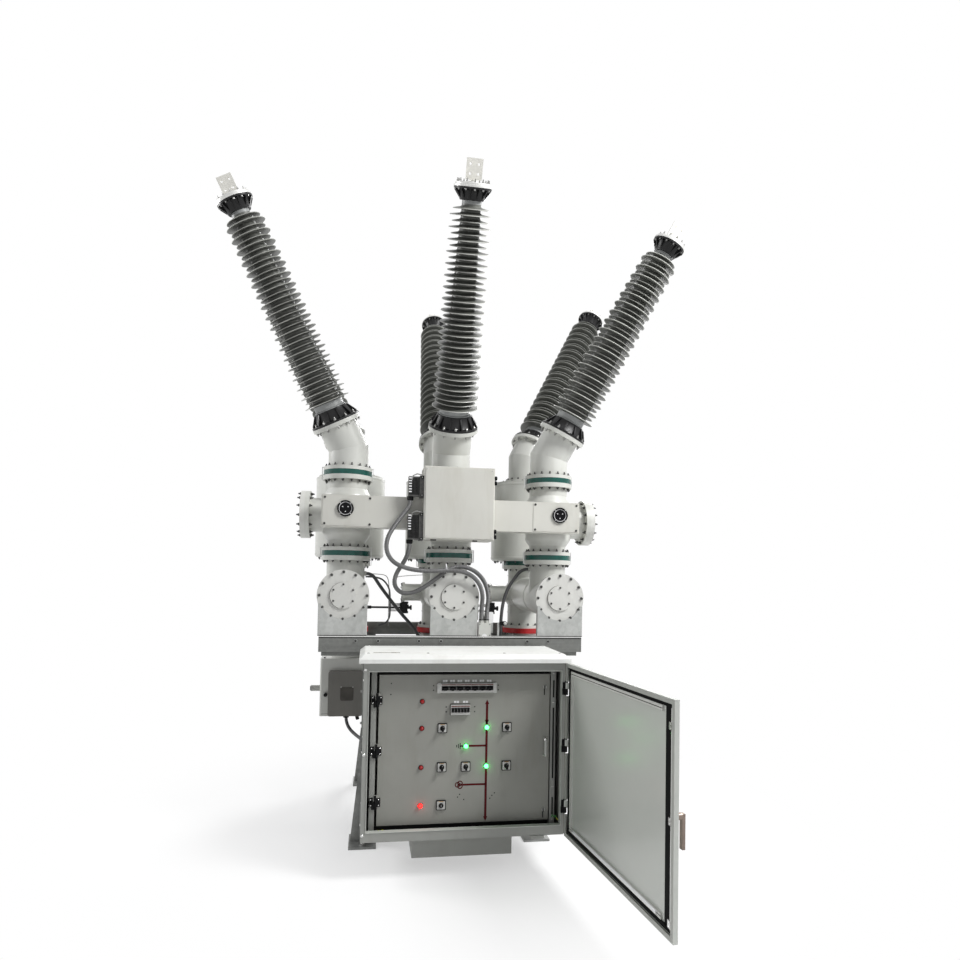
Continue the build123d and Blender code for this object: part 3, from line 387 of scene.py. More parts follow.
def bump(tree, shader, height, strength, distance):
    node = tree.nodes.new("ShaderNodeBump")
    node.inputs["Strength"].default_value = strength
    node.inputs["Distance"].default_value = distance
    link(tree, height, node.inputs["Height"])
    link(tree, node.outputs["Normal"], shader.inputs["Normal"])


def scaled(colour, factor):
    return tuple(min(1.0, channel * factor) for channel in colour)


def spread(tree, value, low, high):
    node = tree.nodes.new("ShaderNodeMapRange")
    node.inputs["To Min"].default_value = low
    node.inputs["To Max"].default_value = high
    link(tree, value, node.inputs["Value"])
    return node.outputs["Result"]


def paint(name, colour, roughness=0.42, dirt=0.12, grain=220.0, coat=0.0, marks=0.1):
    """Sprayed paint: cloudy tone, faint dirt runs and orange peel."""
    material, tree, shader = new_material(name)
    clouds = noise(tree, 3.0)
    tone = ramp(tree, clouds, [(0.3, scaled(colour, 1 - dirt)), (0.7, scaled(colour, 1 + dirt * 0.4))])
    runs = noise(tree, 9.0, 6.0, 0.65, (1.0, 1.0, 0.22))
    grime = ramp(tree, runs, [(0.52, (1, 1, 1)), (0.78, (1 - marks, 1 - marks * 1.1, 1 - marks * 1.3))])
    link(tree, mix(tree, 1.0, tone, grime, "MULTIPLY"), shader.inputs["Base Color"])
    fine = noise(tree, grain, 2.0)
    link(tree, spread(tree, runs, roughness - 0.08, roughness + 0.12), shader.inputs["Roughness"])
    shader.inputs["Coat Weight"].default_value = coat
    bump(tree, shader, fine, 0.12, 0.0004)
    return material


def zinc(name, colour, metallic=0.75, roughness=0.42, spots=0.35, stretch=None):
    """Hot-dip zinc: spangle cells, dull blotches and scuffs."""
    material, tree, shader = new_material(name)
    coordinates = tree.nodes.new("ShaderNodeTexCoord")
    cells = tree.nodes.new("ShaderNodeTexVoronoi")
    cells.inputs["Scale"].default_value = 46.0
    link(tree, coordinates.outputs["Object"], cells.inputs["Vector"])
    spangle = ramp(tree, cells.outputs["Color"], [(0.2, scaled(colour, 0.94)), (0.8, scaled(colour, 1.05))])
    blotch = noise(tree, 7.0, 7.0, 0.7, stretch)
    dull = ramp(tree, blotch, [(0.42, (1, 1, 1)), (0.72, (1 - spots, 1 - spots, 1 - spots))])
    link(tree, mix(tree, 1.0, spangle, dull, "MULTIPLY"), shader.inputs["Base Color"])
    link(tree, spread(tree, blotch, roughness - 0.1, roughness + 0.22), shader.inputs["Roughness"])
    shader.inputs["Metallic"].default_value = metallic
    bump(tree, shader, noise(tree, 160.0, 3.0), 0.2, 0.0006)
    return material


def plain(
    name, colour, roughness=0.5, metallic=0.0, variation=0.1, scale=18.0, grain=300.0, depth=0.0003,
    coat=0.0, shine=0.5,
):
    """Moulded, cast or machined surface with a slight change of tone and a fine grain."""
    material, tree, shader = new_material(name)
    cloud = noise(tree, scale)
    tone = ramp(tree, cloud, [(0.3, scaled(colour, 1 - variation)), (0.7, scaled(colour, 1 + variation))])
    link(tree, tone, shader.inputs["Base Color"])
    link(
        tree, spread(tree, cloud, max(0.02, roughness - 0.07), roughness + 0.07),
        shader.inputs["Roughness"],
    )
    shader.inputs["Metallic"].default_value = metallic
    shader.inputs["Coat Weight"].default_value = coat
    shader.inputs["Specular IOR Level"].default_value = shine
    bump(tree, shader, noise(tree, grain, 2.0), 0.15, depth)
    return material


def lamp_glow(name, colour, strength):
    """A lit lens: its colour, a little cloudy, as base colour and glow."""
    material, tree, shader = new_material(name)
    tone = ramp(tree, noise(tree, 60.0), [(0.2, scaled(colour, 0.9)), (0.8, colour)])
    link(tree, tone, shader.inputs["Base Color"])
    link(tree, tone, shader.inputs["Emission Color"])
    shader.inputs["Emission Strength"].default_value = strength
    shader.inputs["Roughness"].default_value = 0.15
    return material


light_grey = paint("paint_light_grey", (0.56, 0.565, 0.53), 0.36, 0.06, coat=0.15)
box_grey = paint("paint_box_grey", (0.56, 0.555, 0.51), 0.5, 0.05, grain=420.0)
cover_grey = paint("paint_cover_grey", (0.60, 0.60, 0.57), 0.45, 0.05)
cabinet_grey = paint("paint_cabinet_grey", (0.30, 0.305, 0.285), 0.5, 0.08, grain=420.0)
panel_grey = paint("paint_panel_grey", (0.27, 0.27, 0.245), 0.52, 0.08, grain=420.0)
roof_white = paint("paint_roof", (0.80, 0.805, 0.78), 0.45, 0.05, marks=0.12)
ring_red = paint("paint_ring_red", (0.42, 0.012, 0.014), 0.35, 0.15)
mimic_red = plain("paint_mimic_red", (0.075, 0.004, 0.006), 0.6, shine=0.15)
green = plain("cast_resin_green", (0.002, 0.070, 0.055), 0.22, 0.0, 0.25, 22.0, coat=0.12, shine=0.35)
galvanised = zinc("zinc_frame", (0.26, 0.265, 0.255), 0.6, 0.45)
frame_zinc = zinc("zinc_channels", (0.185, 0.19, 0.18), 0.5, 0.4, 0.3, (0.12, 1.0, 2.2))
plate_zinc = zinc("zinc_plates", (0.46, 0.47, 0.455), 0.6, 0.40, 0.24, (1.0, 1.0, 0.5))
silicone = plain("silicone_sheds", (0.115, 0.118, 0.106), 0.38, 0.0, 0.12, 6.0, 180.0)
# Pale colour for the shed rims: a painted highlight where their edges catch the light.
silicone_rim_highlight = plain("silicone_rims_painted_highlight", (0.42, 0.425, 0.395), 0.42)
collar_grey = plain("silicone_collar", (0.30, 0.31, 0.305), 0.4, 0.0, 0.08)
black_cast = plain("cast_black", (0.009, 0.009, 0.0095), 0.36, 0.0, 0.3, 30.0, 120.0, 0.0008, shine=0.3)
black_plastic = plain("moulded_black", (0.006, 0.006, 0.0065), 0.45, 0.0, 0.2, shine=0.12)
steel = plain("bolt_steel", (0.30, 0.30, 0.29), 0.32, 0.85, 0.25, 90.0)
dark_steel = plain("bolt_dark", (0.06, 0.06, 0.058), 0.42, 0.7, 0.3, 90.0)
# Bright metal for washers and screws; also used for thin strips that stand for highlights (painted
# highlight).
bright_metal_and_highlight = plain("bright_metal_and_painted_highlight", (0.66, 0.66, 0.65), 0.22, 0.95, 0.1)
silver_cast = plain("silver_plates", (0.70, 0.70, 0.68), 0.4, 0.55, 0.08, 14.0)
pad_metal = plain("tinned_pad", (0.72, 0.71, 0.66), 0.42, 0.35, 0.06)
conduit_grey = plain("conduit_plastic", (0.125, 0.125, 0.125), 0.40, 0.0, 0.12)
hose_dark = plain("hose_rubber", (0.075, 0.075, 0.078), 0.5, 0.0, 0.2)
window_glass = plain("window_glass", (0.003, 0.003, 0.004), 0.08, shine=0.12)
# White moulded parts; also used for small white marks that stand for glints on glass (painted highlights).
white_plastic_and_glints = plain("moulded_white_and_painted_glints", (0.78, 0.78, 0.78), 0.4, 0.0, 0.04)
device_grey = plain("moulded_device", (0.46, 0.46, 0.44), 0.42, 0.0, 0.06)
breaker_pale = plain("moulded_breaker", (0.74, 0.74, 0.74), 0.42, 0.0, 0.04)
brown_strip = plain("moulded_brown", (0.11, 0.022, 0.020), 0.5, shine=0.3)
channel_pale = plain("door_channel", (0.54, 0.54, 0.51), 0.4, 0.0, 0.05)
handle_brown = plain("handle_bronze", (0.24, 0.19, 0.16), 0.35, 0.7, 0.2)
# Dark cover paint; also used for thin dark strips that stand for shade (painted shade), such as the
# crescents on the front covers.
dark_cover_and_shade = paint("paint_dark_cover_and_painted_shade", (0.16, 0.155, 0.14), 0.55, 0.1)
earth_yellow = plain("earth_yellow", (0.42, 0.42, 0.03), 0.45)
earth_green = plain("earth_green", (0.03, 0.16, 0.03), 0.45)
red_lens = plain("red_lens", (0.30, 0.005, 0.006), 0.25, 0.0, 0.15, shine=0.4)
red_lit = lamp_glow("red_lit", (1.0, 0.006, 0.005), 12.0)
green_lit = lamp_glow("green_lit", (0.032, 1.0, 0.085), 18.0)
clear_lens = plain("lamp_rim", (0.02, 0.02, 0.02), 0.4, shine=0.2)
amber = plain("amber_mark", (0.42, 0.20, 0.02), 0.5)
connector_grey = plain("moulded_connector", (0.10, 0.10, 0.096), 0.5, 0.0, 0.25, 60.0, shine=0.3)
# Colour for the handle recesses: painted shade, darker than the cover paint round them.
recess_shade = plain("cover_recess_painted_shade", (0.075, 0.070, 0.062), 0.6, 0.0, 0.2, shine=0.2)
# Flat black for the door's gasket and black parts; also used for thin sheets and lines that stand for shade
# (painted shade).
flat_black_and_shade = plain("flat_black_and_painted_shade", (0.004, 0.004, 0.004), 0.7, 0.0, 0.2, shine=0.08)
flange_grey = paint("paint_door_flange", (0.36, 0.365, 0.34), 0.45, 0.07, grain=420.0)
roof_scratch = plain("roof_scratch", (0.22, 0.20, 0.17), 0.7, 0.0, 0.5, 60.0, shine=0.1)
# Light glossy door paint; also used on the bead round the cabinet's opening, where its lighter colour is a
# painted highlight.
door_grey_and_highlight = plain("paint_door_inside_and_painted_highlight", (0.50, 0.515, 0.48), 0.22, 0.0, 0.03, 2.0, 420.0, 0.0001, shine=0.8)


def dress(name, material):
    """Gives a CAD node its finish."""
    data = nodes[name].data
    data.materials.clear()
    data.materials.append(material)
    data.polygons.foreach_set("material_index", [0] * len(data.polygons))


def tint(name, material, low, high):
    """Gives another finish to the faces of a CAD node whose middles lie in a box of the row frame."""
    mesh = nodes[name].data
    mesh.materials.append(material)
    number = len(mesh.materials) - 1
    for polygon in mesh.polygons:
        middle = polygon.center
        if all(low[axis] <= middle[axis] <= high[axis] for axis in range(3)):
            polygon.material_index = number


finishes = (
    (light_grey, ("breaker_tank_left", "breaker_tank_centre", "breaker_tank_right", "bushing_elbows")),
    (light_grey, ("disconnector_housings", "current_transformers", "drive_mechanisms", "junction_box")),
    (cover_grey, ("end_covers",)),
    (dark_cover_and_shade, ("mechanism_covers",)),
    (box_grey, ("drive_beams", "operating_box")),
    (frame_zinc, ("base_frame",)),
    (galvanised, ("legs", "cabinet_rails")),
    (plate_zinc, ("cover_supports",)),
    (ring_red, ("foot_rings",)),
    (green, ("barrier_insulators",)),
    (black_cast, ("bushing_castings", "gas_piping")),
    (pad_metal, ("terminals",)),
    (connector_grey, ("box_connectors",)),
    (cabinet_grey, ("cabinet_shell", "cable_entries", "panel_stiles")),
    (roof_white, ("cabinet_roof",)),
    (door_grey_and_highlight, ("cabinet_door",)),
    (bright_metal_and_highlight, ("latch_rod",)),
    (handle_brown, ("door_handle",)),
    (panel_grey, ("swing_panel",)),
    (device_grey, ("panel_devices",)),
    (red_lens, ("indicator_lamps",)),
    (
        black_plastic,
        ("position_windows", "door_hinges", *(f"switch_knob_{index}" for index in range(1, 6))),
    ),
)
for material, names in finishes:
    for name in names:
        dress(name, material)


# Camera fitted to the photograph
camera_place = Vector((-0.549, -4.892, 1.688))
yaw = 0.1574
pitch_up = 0.0327
roll = 0.0185
focal_pixels = 658.6
middle_x = 474.1
middle_y = 555.7
image_size = 960
ahead = Vector((sin(yaw) * cos(pitch_up), cos(yaw) * cos(pitch_up), sin(pitch_up)))
right_level = Vector((cos(yaw), -sin(yaw), 0))
up_level = right_level.cross(ahead)
right_way = right_level * cos(roll) + up_level * sin(roll)
up_way = up_level * cos(roll) - right_level * sin(roll)
camera_data = bpy.data.cameras.new("camera")
camera_data.sensor_width = 36
camera_data.lens = focal_pixels / image_size * camera_data.sensor_width
camera_data.shift_x = (image_size / 2 - middle_x) / image_size
camera_data.shift_y = (middle_y - image_size / 2) / image_size
camera = new_object("camera", camera_data)
camera.matrix_world = columns(right_way, up_way, -ahead, camera_place)
bpy.context.scene.camera = camera


# Cords: the routes of the conduits and hoses
gland_end = shell_high.y + 0.018
junction_low, junction_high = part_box("junction_box")
junction_y = (junction_low.y + junction_high.y) / 2
junction_x = (junction_low.x + junction_high.x) / 2
connector_y = beam_low.y + 0.003 - 0.040
conduit_exit_x = box_low.x - 0.084
routes = {
    "conduit_upper": (
        1.302,
        0.030,
        [
            (conduit_exit_x, connector_y, 2.178), (conduit_exit_x, connector_y, 2.142),
            (-0.340, -0.664, 2.088), (-0.395, -0.676, 2.010), (-0.442, -0.684, 1.930),
            (-0.448, -0.690, 1.845), (-0.405, -0.694, 1.775), (-0.325, -0.698, 1.738),
            (-0.225, -0.700, 1.722), (-0.115, -0.702, 1.724), (-0.005, -0.700, 1.732),
            (0.090, -0.692, 1.712), (0.160, -0.676, 1.650), (0.186, -0.660, 1.570),
            (junction_x - 0.018, junction_y, 1.488),
            (junction_x - 0.018, junction_y, junction_high.z),
        ],
    ),
    "conduit_lower": (
        1.250,
        0.030,
        [
            (conduit_exit_x, connector_y, 1.900), (conduit_exit_x, connector_y, 1.850),
            (-0.330, -0.630, 1.775), (-0.378, -0.612, 1.705), (-0.392, -0.608, 1.630),
            (-0.345, -0.614, 1.575), (-0.268, -0.626, 1.578), (-0.195, -0.648, 1.618),
            (-0.122, -0.668, 1.676), (-0.050, -0.664, 1.733), (0.025, -0.660, 1.758),
            (0.100, -0.656, 1.746), (0.168, -0.650, 1.702), (0.212, -0.645, 1.632),
            (0.228, -0.640, 1.552), (junction_x + 0.018, junction_y, 1.478),
            (junction_x + 0.018, junction_y, junction_high.z),
        ],
    ),
    "hose_left": (
        1.180,
        0.024,
        [
            (-0.568, riser_y, 1.700), (-0.528, riser_y, 1.700), (-0.478, -0.300, 1.622),
            (-0.402, -0.268, 1.524), (-0.318, -0.238, 1.420), (-0.232, -0.212, 1.328),
            (-0.172, -0.205, 1.228), (-0.166, -0.262, 1.138), (-0.180, -0.380, 1.096),
            (-0.190, -0.520, 1.090), (-0.190, gland_end, 1.090),
        ],
    ),
    "hose_right": (
        1.016,
        0.024,
        [
            (0.568, riser_y, 1.752), (0.526, riser_y, 1.752), (0.470, -0.322, 1.690),
            (0.415, -0.330, 1.606), (0.385, -0.334, 1.508), (0.374, -0.336, 1.406),
            (0.370, -0.338, 1.300), (0.368, -0.356, 1.196), (0.370, -0.420, 1.116),
            (0.372, -0.530, 1.090), (0.372, gland_end, 1.090),
        ],
    ),
    "conduit_mechanism": (
        1.162,
        0.025,
        [
            (-0.700, 0.330, 0.602), (-0.700, 0.330, 0.560), (-0.672, 0.296, 0.505),
            (-0.615, 0.222, 0.470), (-0.555, 0.110, 0.455), (-0.508, -0.026, 0.448),
            (-0.468, -0.180, 0.450), (-0.435, -0.338, 0.458), (-0.412, -0.490, 0.470),
            (-0.400, -0.600, 0.478), (-0.400, gland_end, 0.478),
        ],
    ),
}


def route_line(name, points):
    """Points along the smooth curve that has the route's points as its control points."""
    curve = bpy.data.curves.new(name + "_route", "CURVE")
    curve.dimensions = "3D"
    curve.resolution_u = 40
    spline = curve.splines.new("NURBS")
    spline.points.add(len(points) - 1)
    for control, point in zip(spline.points, points):
        control.co = (*point, 1.0)
    spline.order_u = 3
    spline.use_endpoint_u = True
    holder = bpy.data.objects.new(name + "_route", curve)
    mesh = bpy.data.meshes.new_from_object(holder)
    line = [vertex.co.copy() for vertex in mesh.vertices]
    bpy.data.objects.remove(holder)
    bpy.data.curves.remove(curve)
    bpy.data.meshes.remove(mesh)
    return line


def evenly(line, step):
    """Points at equal steps along a line."""
    spots = [line[0]]
    left = step
    for start, end in zip(line, line[1:]):
        run = (end - start).length
        done = 0.0
        while run - done >= left:
            done += left
            spots.append(start.lerp(end, done / run))
            left = step
        left -= run - done
    if (spots[-1] - line[-1]).length < step / 3:
        spots.pop()
    spots.append(line[-1])
    return spots


def conduit(name, material, rib=0.0092, groove=0.86):
    """A cord of ribbed hose along its route."""
    length, diameter, points = routes[name]
    line = route_line(name, points)
    spots = evenly(line, rib / 2)
    radii = [diameter / 2 * (1.0 if index % 2 else groove) for index in range(len(spots))]
    shape = Shape()
    shape.tube(spots, radii, 20)
    piece = shape.make(name + "_ribbed", "bay", [material], stands_for=(name,))


for name in ("conduit_upper", "conduit_lower"):
    conduit(name, conduit_grey)
for name in ("hose_left", "hose_right", "conduit_mechanism"):
    conduit(name, hose_dark, 0.0058, 0.94)


# Bushings: sheds, castings, plates and bolts
def lean_way(name, facing):
    turn = fan[name]
    return Vector((sin(lean) * sin(turn), facing * sin(lean) * cos(turn), cos(lean)))


def bushing_place(name, row, along=0.0):
    """Frame on a bushing's axis, z along the bushing, along metres beyond its base flange."""
    facing, bend_z, reach, row_y = rows[row]
    way = lean_way(name, facing)
    origin = Vector((phases[name], row_y, bend_z)) + way * (reach + along)
    return place(origin, way, Vector((0, 0, 1)).cross(way))


core_radii = (0.097, 0.058)
large_radii = (0.157, 0.126)
small_step = 0.016


def sheds(row):
    """Tapering core with large and small sheds by turns; the pale colour at their rims is a painted
    highlight along the shed edges.
    """
    shape = Shape()
    top = bushing_length - base_height - cap_height
    span = top - top_collar_height - collar_height
    gap = span / (2 * shed_pairs)
    for name in phases:
        base = bushing_place(name, row, base_height)
        shape.lathe(base, [(0.108, -0.004), (0.108, 0.006), (0.101, 0.010), (0.101, collar_height)], 64, 2)
        profile = [(0.101, collar_height)]
        marks = []
        for index in range(2 * shed_pairs):
            share = index / (2 * shed_pairs - 1)
            core = core_radii[0] + share * (core_radii[1] - core_radii[0])
            tip = large_radii[0] + share * (large_radii[1] - large_radii[0])
            if index % 2:
                tip -= small_step
            start = collar_height + index * gap
            profile += [
                (core, start + 0.002),
                (core + 0.004, start + 0.006),
                (tip - 0.004, start + 0.0045),
                (tip, start + 0.0065),
                (tip - 0.003, start + 0.010),
                (core + 0.006, start + 0.019),
                (core, start + 0.025),
            ]
            # Mark 1 on the tips gives the pale rim colour, a painted highlight.
            marks += [0, 0, 0, 1, 1, 0, 0]
        profile += [(core_radii[1], top - top_collar_height), (core_radii[1], top)]
        marks += [0, 2]
        shape.lathe(base, profile, 64, marks=marks)
    shape.make(
        f"sheds_{row}", "bay", [silicone, silicone_rim_highlight, collar_grey],
        stands_for=(f"bushings_{row}",),
    )


for row in rows:
    sheds(row)

casting_ribs = 12
base_rib = [(0.126, 0.010), (0.165, 0.010), (0.163, 0.024), (0.124, 0.082), (0.110, 0.082)]
cap_rib = [(0.066, 0.008), (0.075, 0.008), (0.109, 0.052), (0.109, 0.062), (0.080, 0.062)]


def ribs(shape, base, outline, half):
    """Ribs of one outline all round a bushing's axis, half as thick on each side of their middle."""
    for index in range(casting_ribs):
        turned = base @ Matrix.Rotation(2 * pi * (index + 0.5) / casting_ribs, 4, "Z")
        upright = turned @ Matrix.Rotation(pi / 2, 4, "X")
        shape.prism(upright, outline, -half, half)


def turned_over(base):
    return base @ Matrix.Rotation(pi, 4, "X")


def bushing_metal():
    """Ribbed castings at both ends of each bushing, with the cap plate and its bolts."""
    castings = Shape()
    metal = Shape()
    for row in rows:
        for name in phases:
            base = bushing_place(name, row)
            profile = [
                (0.100, 0), (0.168, 0), (0.168, 0.012), (0.165, 0.014), (0.146, 0.019), (0.140, 0.026)
            ]
            profile += [(0.119, 0.078), (0.117, 0.086), (0.113, 0.088), (0.100, 0.088)]
            castings.lathe(base, profile, 72)
            ribs(castings, base, base_rib, 0.0045)
            bolt_ring(metal, shift(base, 0, 0, 0.014), 0.152, casting_ribs, 0.0095, 0.0, 0.008)
            flange = turned_over(shift(base, 0, 0, -0.026))
            bolt_ring(metal, flange, 0.150, casting_ribs, 0.0095, 0.0, 0.010)
            top = bushing_place(name, row, bushing_length - cap_height)
            profile = [
                (0.040, 0), (0.072, 0), (0.075, 0.005), (0.086, 0.046), (0.096, 0.056), (0.112, 0.059)
            ]
            profile += [(0.112, 0.070), (0.040, 0.070)]
            castings.lathe(top, profile, 72)
            ribs(castings, top, cap_rib, 0.004)
            plate = shift(top, 0, 0, cap_height)
            profile = [(0, 0), (0.114, 0), (0.114, 0.010), (0.111, 0.012), (0.106, 0.012), (0.106, 0.021)]
            profile += [(0.103, cap_plate), (0.034, cap_plate), (0.030, 0.030), (0, 0.030)]
            metal.lathe(plate, profile, 72, 2)
            bolt_ring(metal, shift(plate, 0, 0, cap_plate), 0.093, casting_ribs, 0.007, 0.0, 0.010)
            below = turned_over(shift(top, 0, 0, 0.058))
            bolt_ring(metal, below, 0.100, casting_ribs, 0.0065)
    materials = [black_cast]
    castings.make(
        "bushing_end_castings", "bay", materials, stands_for=("bushing_castings",)
    )
    metal.make("bushing_plates_and_bolts", "bay", [steel, bright_metal_and_highlight, silver_cast])


# Flange joints: bolts above and below, bonding straps across the insulators
def strap(shape, x, y, middle, angle):
    """A thin strip bent over the insulator from flange to flange."""
    out = Vector((cos(angle), sin(angle), 0))
    centre = Vector((x, y, middle))
    near = flange_radius - 0.004
    far = flange_radius + 0.010
    height = half_insulator + 0.026
    base = place(centre, Vector((-sin(angle), cos(angle), 0)), out)
    sign = 1 if base.col[1].z > 0 else -1
    outline = [(near, -height), (far, -height), (far, height), (near, height)]
    inner = [
        (near, -height + 0.003), (far - 0.003, -height + 0.003), (far - 0.003, height - 0.003),
        (near, height - 0.003),
    ]
    points = outline + inner[::-1]
    faces = [[0, 1, 6, 7], [1, 2, 5, 6], [2, 3, 4, 5]]
    width = 0.009
    low = [(px, sign * py, -width) for px, py in points]
    high = [(px, sign * py, width) for px, py in points]
    quads = []
    for face in faces:
        quads.append(face[::-1])
        quads.append([index + 8 for index in face])
    for index in range(8):
        after = (index + 1) % 8
        quads.append([index, after, after + 8, index + 8])
    shape.add(base, low + high, quads, 2)


def flange_joints():
    metal = Shape()
    joint_bolts = 16
    bolt_radius = 0.147
    bolt_size = 0.009
    for x in phases.values():
        for middle in (lower_joint, upper_joint):
            high = middle + half_insulator + thin_flange
            low = middle - half_insulator - thick_flange
            bolt_ring(metal, up(x, riser_y, high), bolt_radius, joint_bolts, bolt_size, 0.2, 0.010)
            bolt_ring(metal, down(x, riser_y, low), bolt_radius, joint_bolts, bolt_size, -0.2, 0.006)
        low = rear_flange_top - thick_flange
        high = ct_high.z + thin_flange
        bolt_ring(metal, down(x, column_y, low), bolt_radius, joint_bolts, bolt_size, 0.2, 0.006)
        bolt_ring(metal, up(x, column_y, high), bolt_radius, joint_bolts, bolt_size, 0.2, 0.008)
        bolt_ring(metal, up(x, column_y, frame_top), foot_bolt_radius, 12, bolt_size, 0.13, 0.008)
        for middle in (lower_joint, upper_joint):
            for angle in (pi, 0.0, -pi / 2 - 0.9 + 3.2):
                strap(metal, x, riser_y, middle, angle)
        for angle in (pi, 0.0):
            strap(metal, x, column_y, rear_flange_top + half_insulator, angle)
    metal.make("flange_bolts_and_straps", "bay", [dark_steel, bright_metal_and_highlight, white_plastic_and_glints])


def covers():
    """Bolts of the front covers, the inner covers and the blank side flanges, with a dark crescent of
    painted shadow beside each inner cover.
    """
    metal = Shape()
    cover_bolt_radius = 0.149
    side_reach = 0.302
    side_thickness = 0.060
    for x in phases.values():
        face = front(x, cover_front, barrel_z)
        bolt_ring(metal, face, cover_bolt_radius, 12, 0.0085)
        bolt_ring(metal, shift(face, 0, 0, 0.010), 0.070, 6, 0.006, pi / 6)
        behind = back(x, cover_back + 0.028, barrel_z)
        bolt_ring(metal, behind, cover_bolt_radius, 12, 0.0085)
        # A thin dark crescent round the left half of the inner cover: painted shadow of its step, not a
        # part.
        arc(metal, face, 0.0832, 0.0862, radians(95), radians(275), 0.0, 0.0008, 2)
    for name, side in (("left", -1), ("right", 1)):
        outer = phases[name] + side * side_reach
        for x, way in ((outer, side), (outer - side * side_thickness, -side)):
            base = side_on(x, riser_y, housing_z, way)
            bolt_ring(metal, base, 0.143, 14, 0.009, 0.1 if way > 0 else pi - 0.1, 0.010)
    metal.make("cover_bolts", "bay", [dark_steel, steel, dark_cover_and_shade])


# Support plates: folded side edges and the fixings to the channel, with thin strips of painted highlight
# and painted shade on the plates and the channel
def supports():
    plates = Shape()
    plate_low, plate_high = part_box("cover_supports")
    half = 0.153
    for x in phases.values():
        for side in (-1, 1):
            plates.block(
                up(x + side * (half - 0.0015), plate_high.y + 0.012, frame_top), 0.003, 0.026, 0.0,
                0.150, 1,
            )
            foot = up(x + side * 0.105, plate_high.y + 0.030, frame_top)
            plates.block(foot, 0.050, 0.040, 0.0, 0.004, 1)
            bolt(plates, shift(foot, 0, 0, 0.004), 0.008)
        # A black line at each plate's foot: painted shadow where the plate meets the channel.
        plates.block(front(x, plate_low.y - 0.0005, frame_top + 0.0015), 2 * half, 0.004, 0.0, 0.0006, 2)
        # A bright strip on each plate's right edge: painted highlight.
        plates.block(front(x + half - 0.0015, plate_low.y, frame_top + 0.075), 0.003, 0.150, 0.0, 0.0006, 3)
    for x in (-0.225, -0.084, 0.483, 0.624, -0.624, -0.483):
        bolt(plates, front(x, frame_low.y, frame_top - 0.030), 0.0085)
    middle_x = (frame_low.x + frame_high.x) / 2
    length = frame_high.x - frame_low.x
    # Along the channel's front: a bright strip at its top edge, painted highlight, and a black line below
    # it, painted shade.
    plates.block(front(middle_x, frame_low.y, frame_top - 0.003), length, 0.006, 0.0, 0.0006, 3)
    plates.block(front(middle_x, frame_low.y, frame_top - 0.011), length, 0.005, 0.0, 0.0004, 2)
    plates.make("support_folds", "bay", [dark_steel, plate_zinc, flat_black_and_shade, bright_metal_and_highlight])


# Drive beams: screws of the access covers and of the end caps, glass of the windows with painted highlights
# on it
def beams():
    trim = Shape()
    face_y = beam_low.y
    middle_z = (beam_low.z + beam_high.z) / 2
    for end, side in ((beam_low.x, -1), (beam_high.x, 1)):
        cover_x = end - side * (0.008 + 0.156)
        for x in (cover_x - 0.142, cover_x + 0.142):
            for z in (middle_z - 0.084, middle_z + 0.084):
                screw(trim, front(x, face_y, z), 0.0075)
        for z in (middle_z - 0.06, middle_z + 0.06):
            cap = side_on(end, face_y + 0.06, z, side)
            screw(trim, cap, 0.006)
    for side in (-1, 1):
        spot = front(side * pitch, face_y - 0.006, frame_top + 0.808)
        trim.lathe(spot, [(0.0425, 0.001), (0, 0.001)], 48, 1)
        # A raised white ring at the glass's edge and three white dots on the glass: painted highlights that
        # stand for the glass's reflections.
        trim.lathe(spot, [(0.0415, 0.0012), (0.0415, 0.0022), (0.0385, 0.0022), (0.0385, 0.0012)], 48, 2)
        for angle in (0.6, 2.6, 4.7):
            profile = [(0.0035, 0), (0.0035, 0.001), (0, 0.001)]
            trim.lathe(shift(spot, 0.020 * cos(angle), 0.020 * sin(angle), 0.001), profile, 12, 2)
        rim = front(side * pitch, face_y - 0.012, frame_top + 0.808)
        for index in range(4):
            angle = pi / 4 + index * pi / 2
            screw(trim, shift(rim, 0.0475 * cos(angle), 0.0475 * sin(angle)), 0.0035, 3)
    materials = [dark_steel, window_glass, white_plastic_and_glints, bright_metal_and_highlight]
    trim.make("beam_screws_and_glass", "bay", materials)


# Operating box: hinges, clasps and screws round its door
def box_trim():
    trim = Shape()
    front_y = box_low.y
    right = box_high.x
    for z in (2.331, 2.299, 1.985, 1.950):
        base = up(right + 0.007, front_y + 0.012, z - 0.013)
        profile = [(0, 0), (0.006, 0), (0.0095, 0.006), (0.0095, 0.020), (0.006, 0.026), (0, 0.026)]
        trim.lathe(base, profile, 16)
    for z in (2.315, 1.968):
        trim.block(side_on(right, front_y + 0.020, z, 1), 0.026, 0.056, 0.0, 0.004)
    screw(trim, side_on(right, front_y + 0.06, 2.172, 1), 0.008)
    for x, width in ((-0.150, 0.036), (0.120, 0.030)):
        trim.block(down(x, front_y + 0.025, box_low.z), width, 0.022, 0.0, 0.007)
    trim.block(up(0.150, front_y + 0.060, box_high.z), 0.026, 0.020, 0.0, 0.006)
    for x in (box_low.x + 0.020, right - 0.020):
        for z in (box_low.z + 0.020, box_high.z - 0.020):
            screw(trim, front(x, front_y, z), 0.004, 1)
    for side in (-1, 1):
        x = box_low.x if side < 0 else right
        trim.block(side_on(x, (front_y + box_high.y) / 2 + 0.05, (box_low.z + box_high.z) / 2, side),
                   0.0015, box_high.z - box_low.z - 0.006, 0.0, 0.0006, 2)
    trim.make("operating_box_trim", "bay", [black_plastic, bright_metal_and_highlight, dark_cover_and_shade])


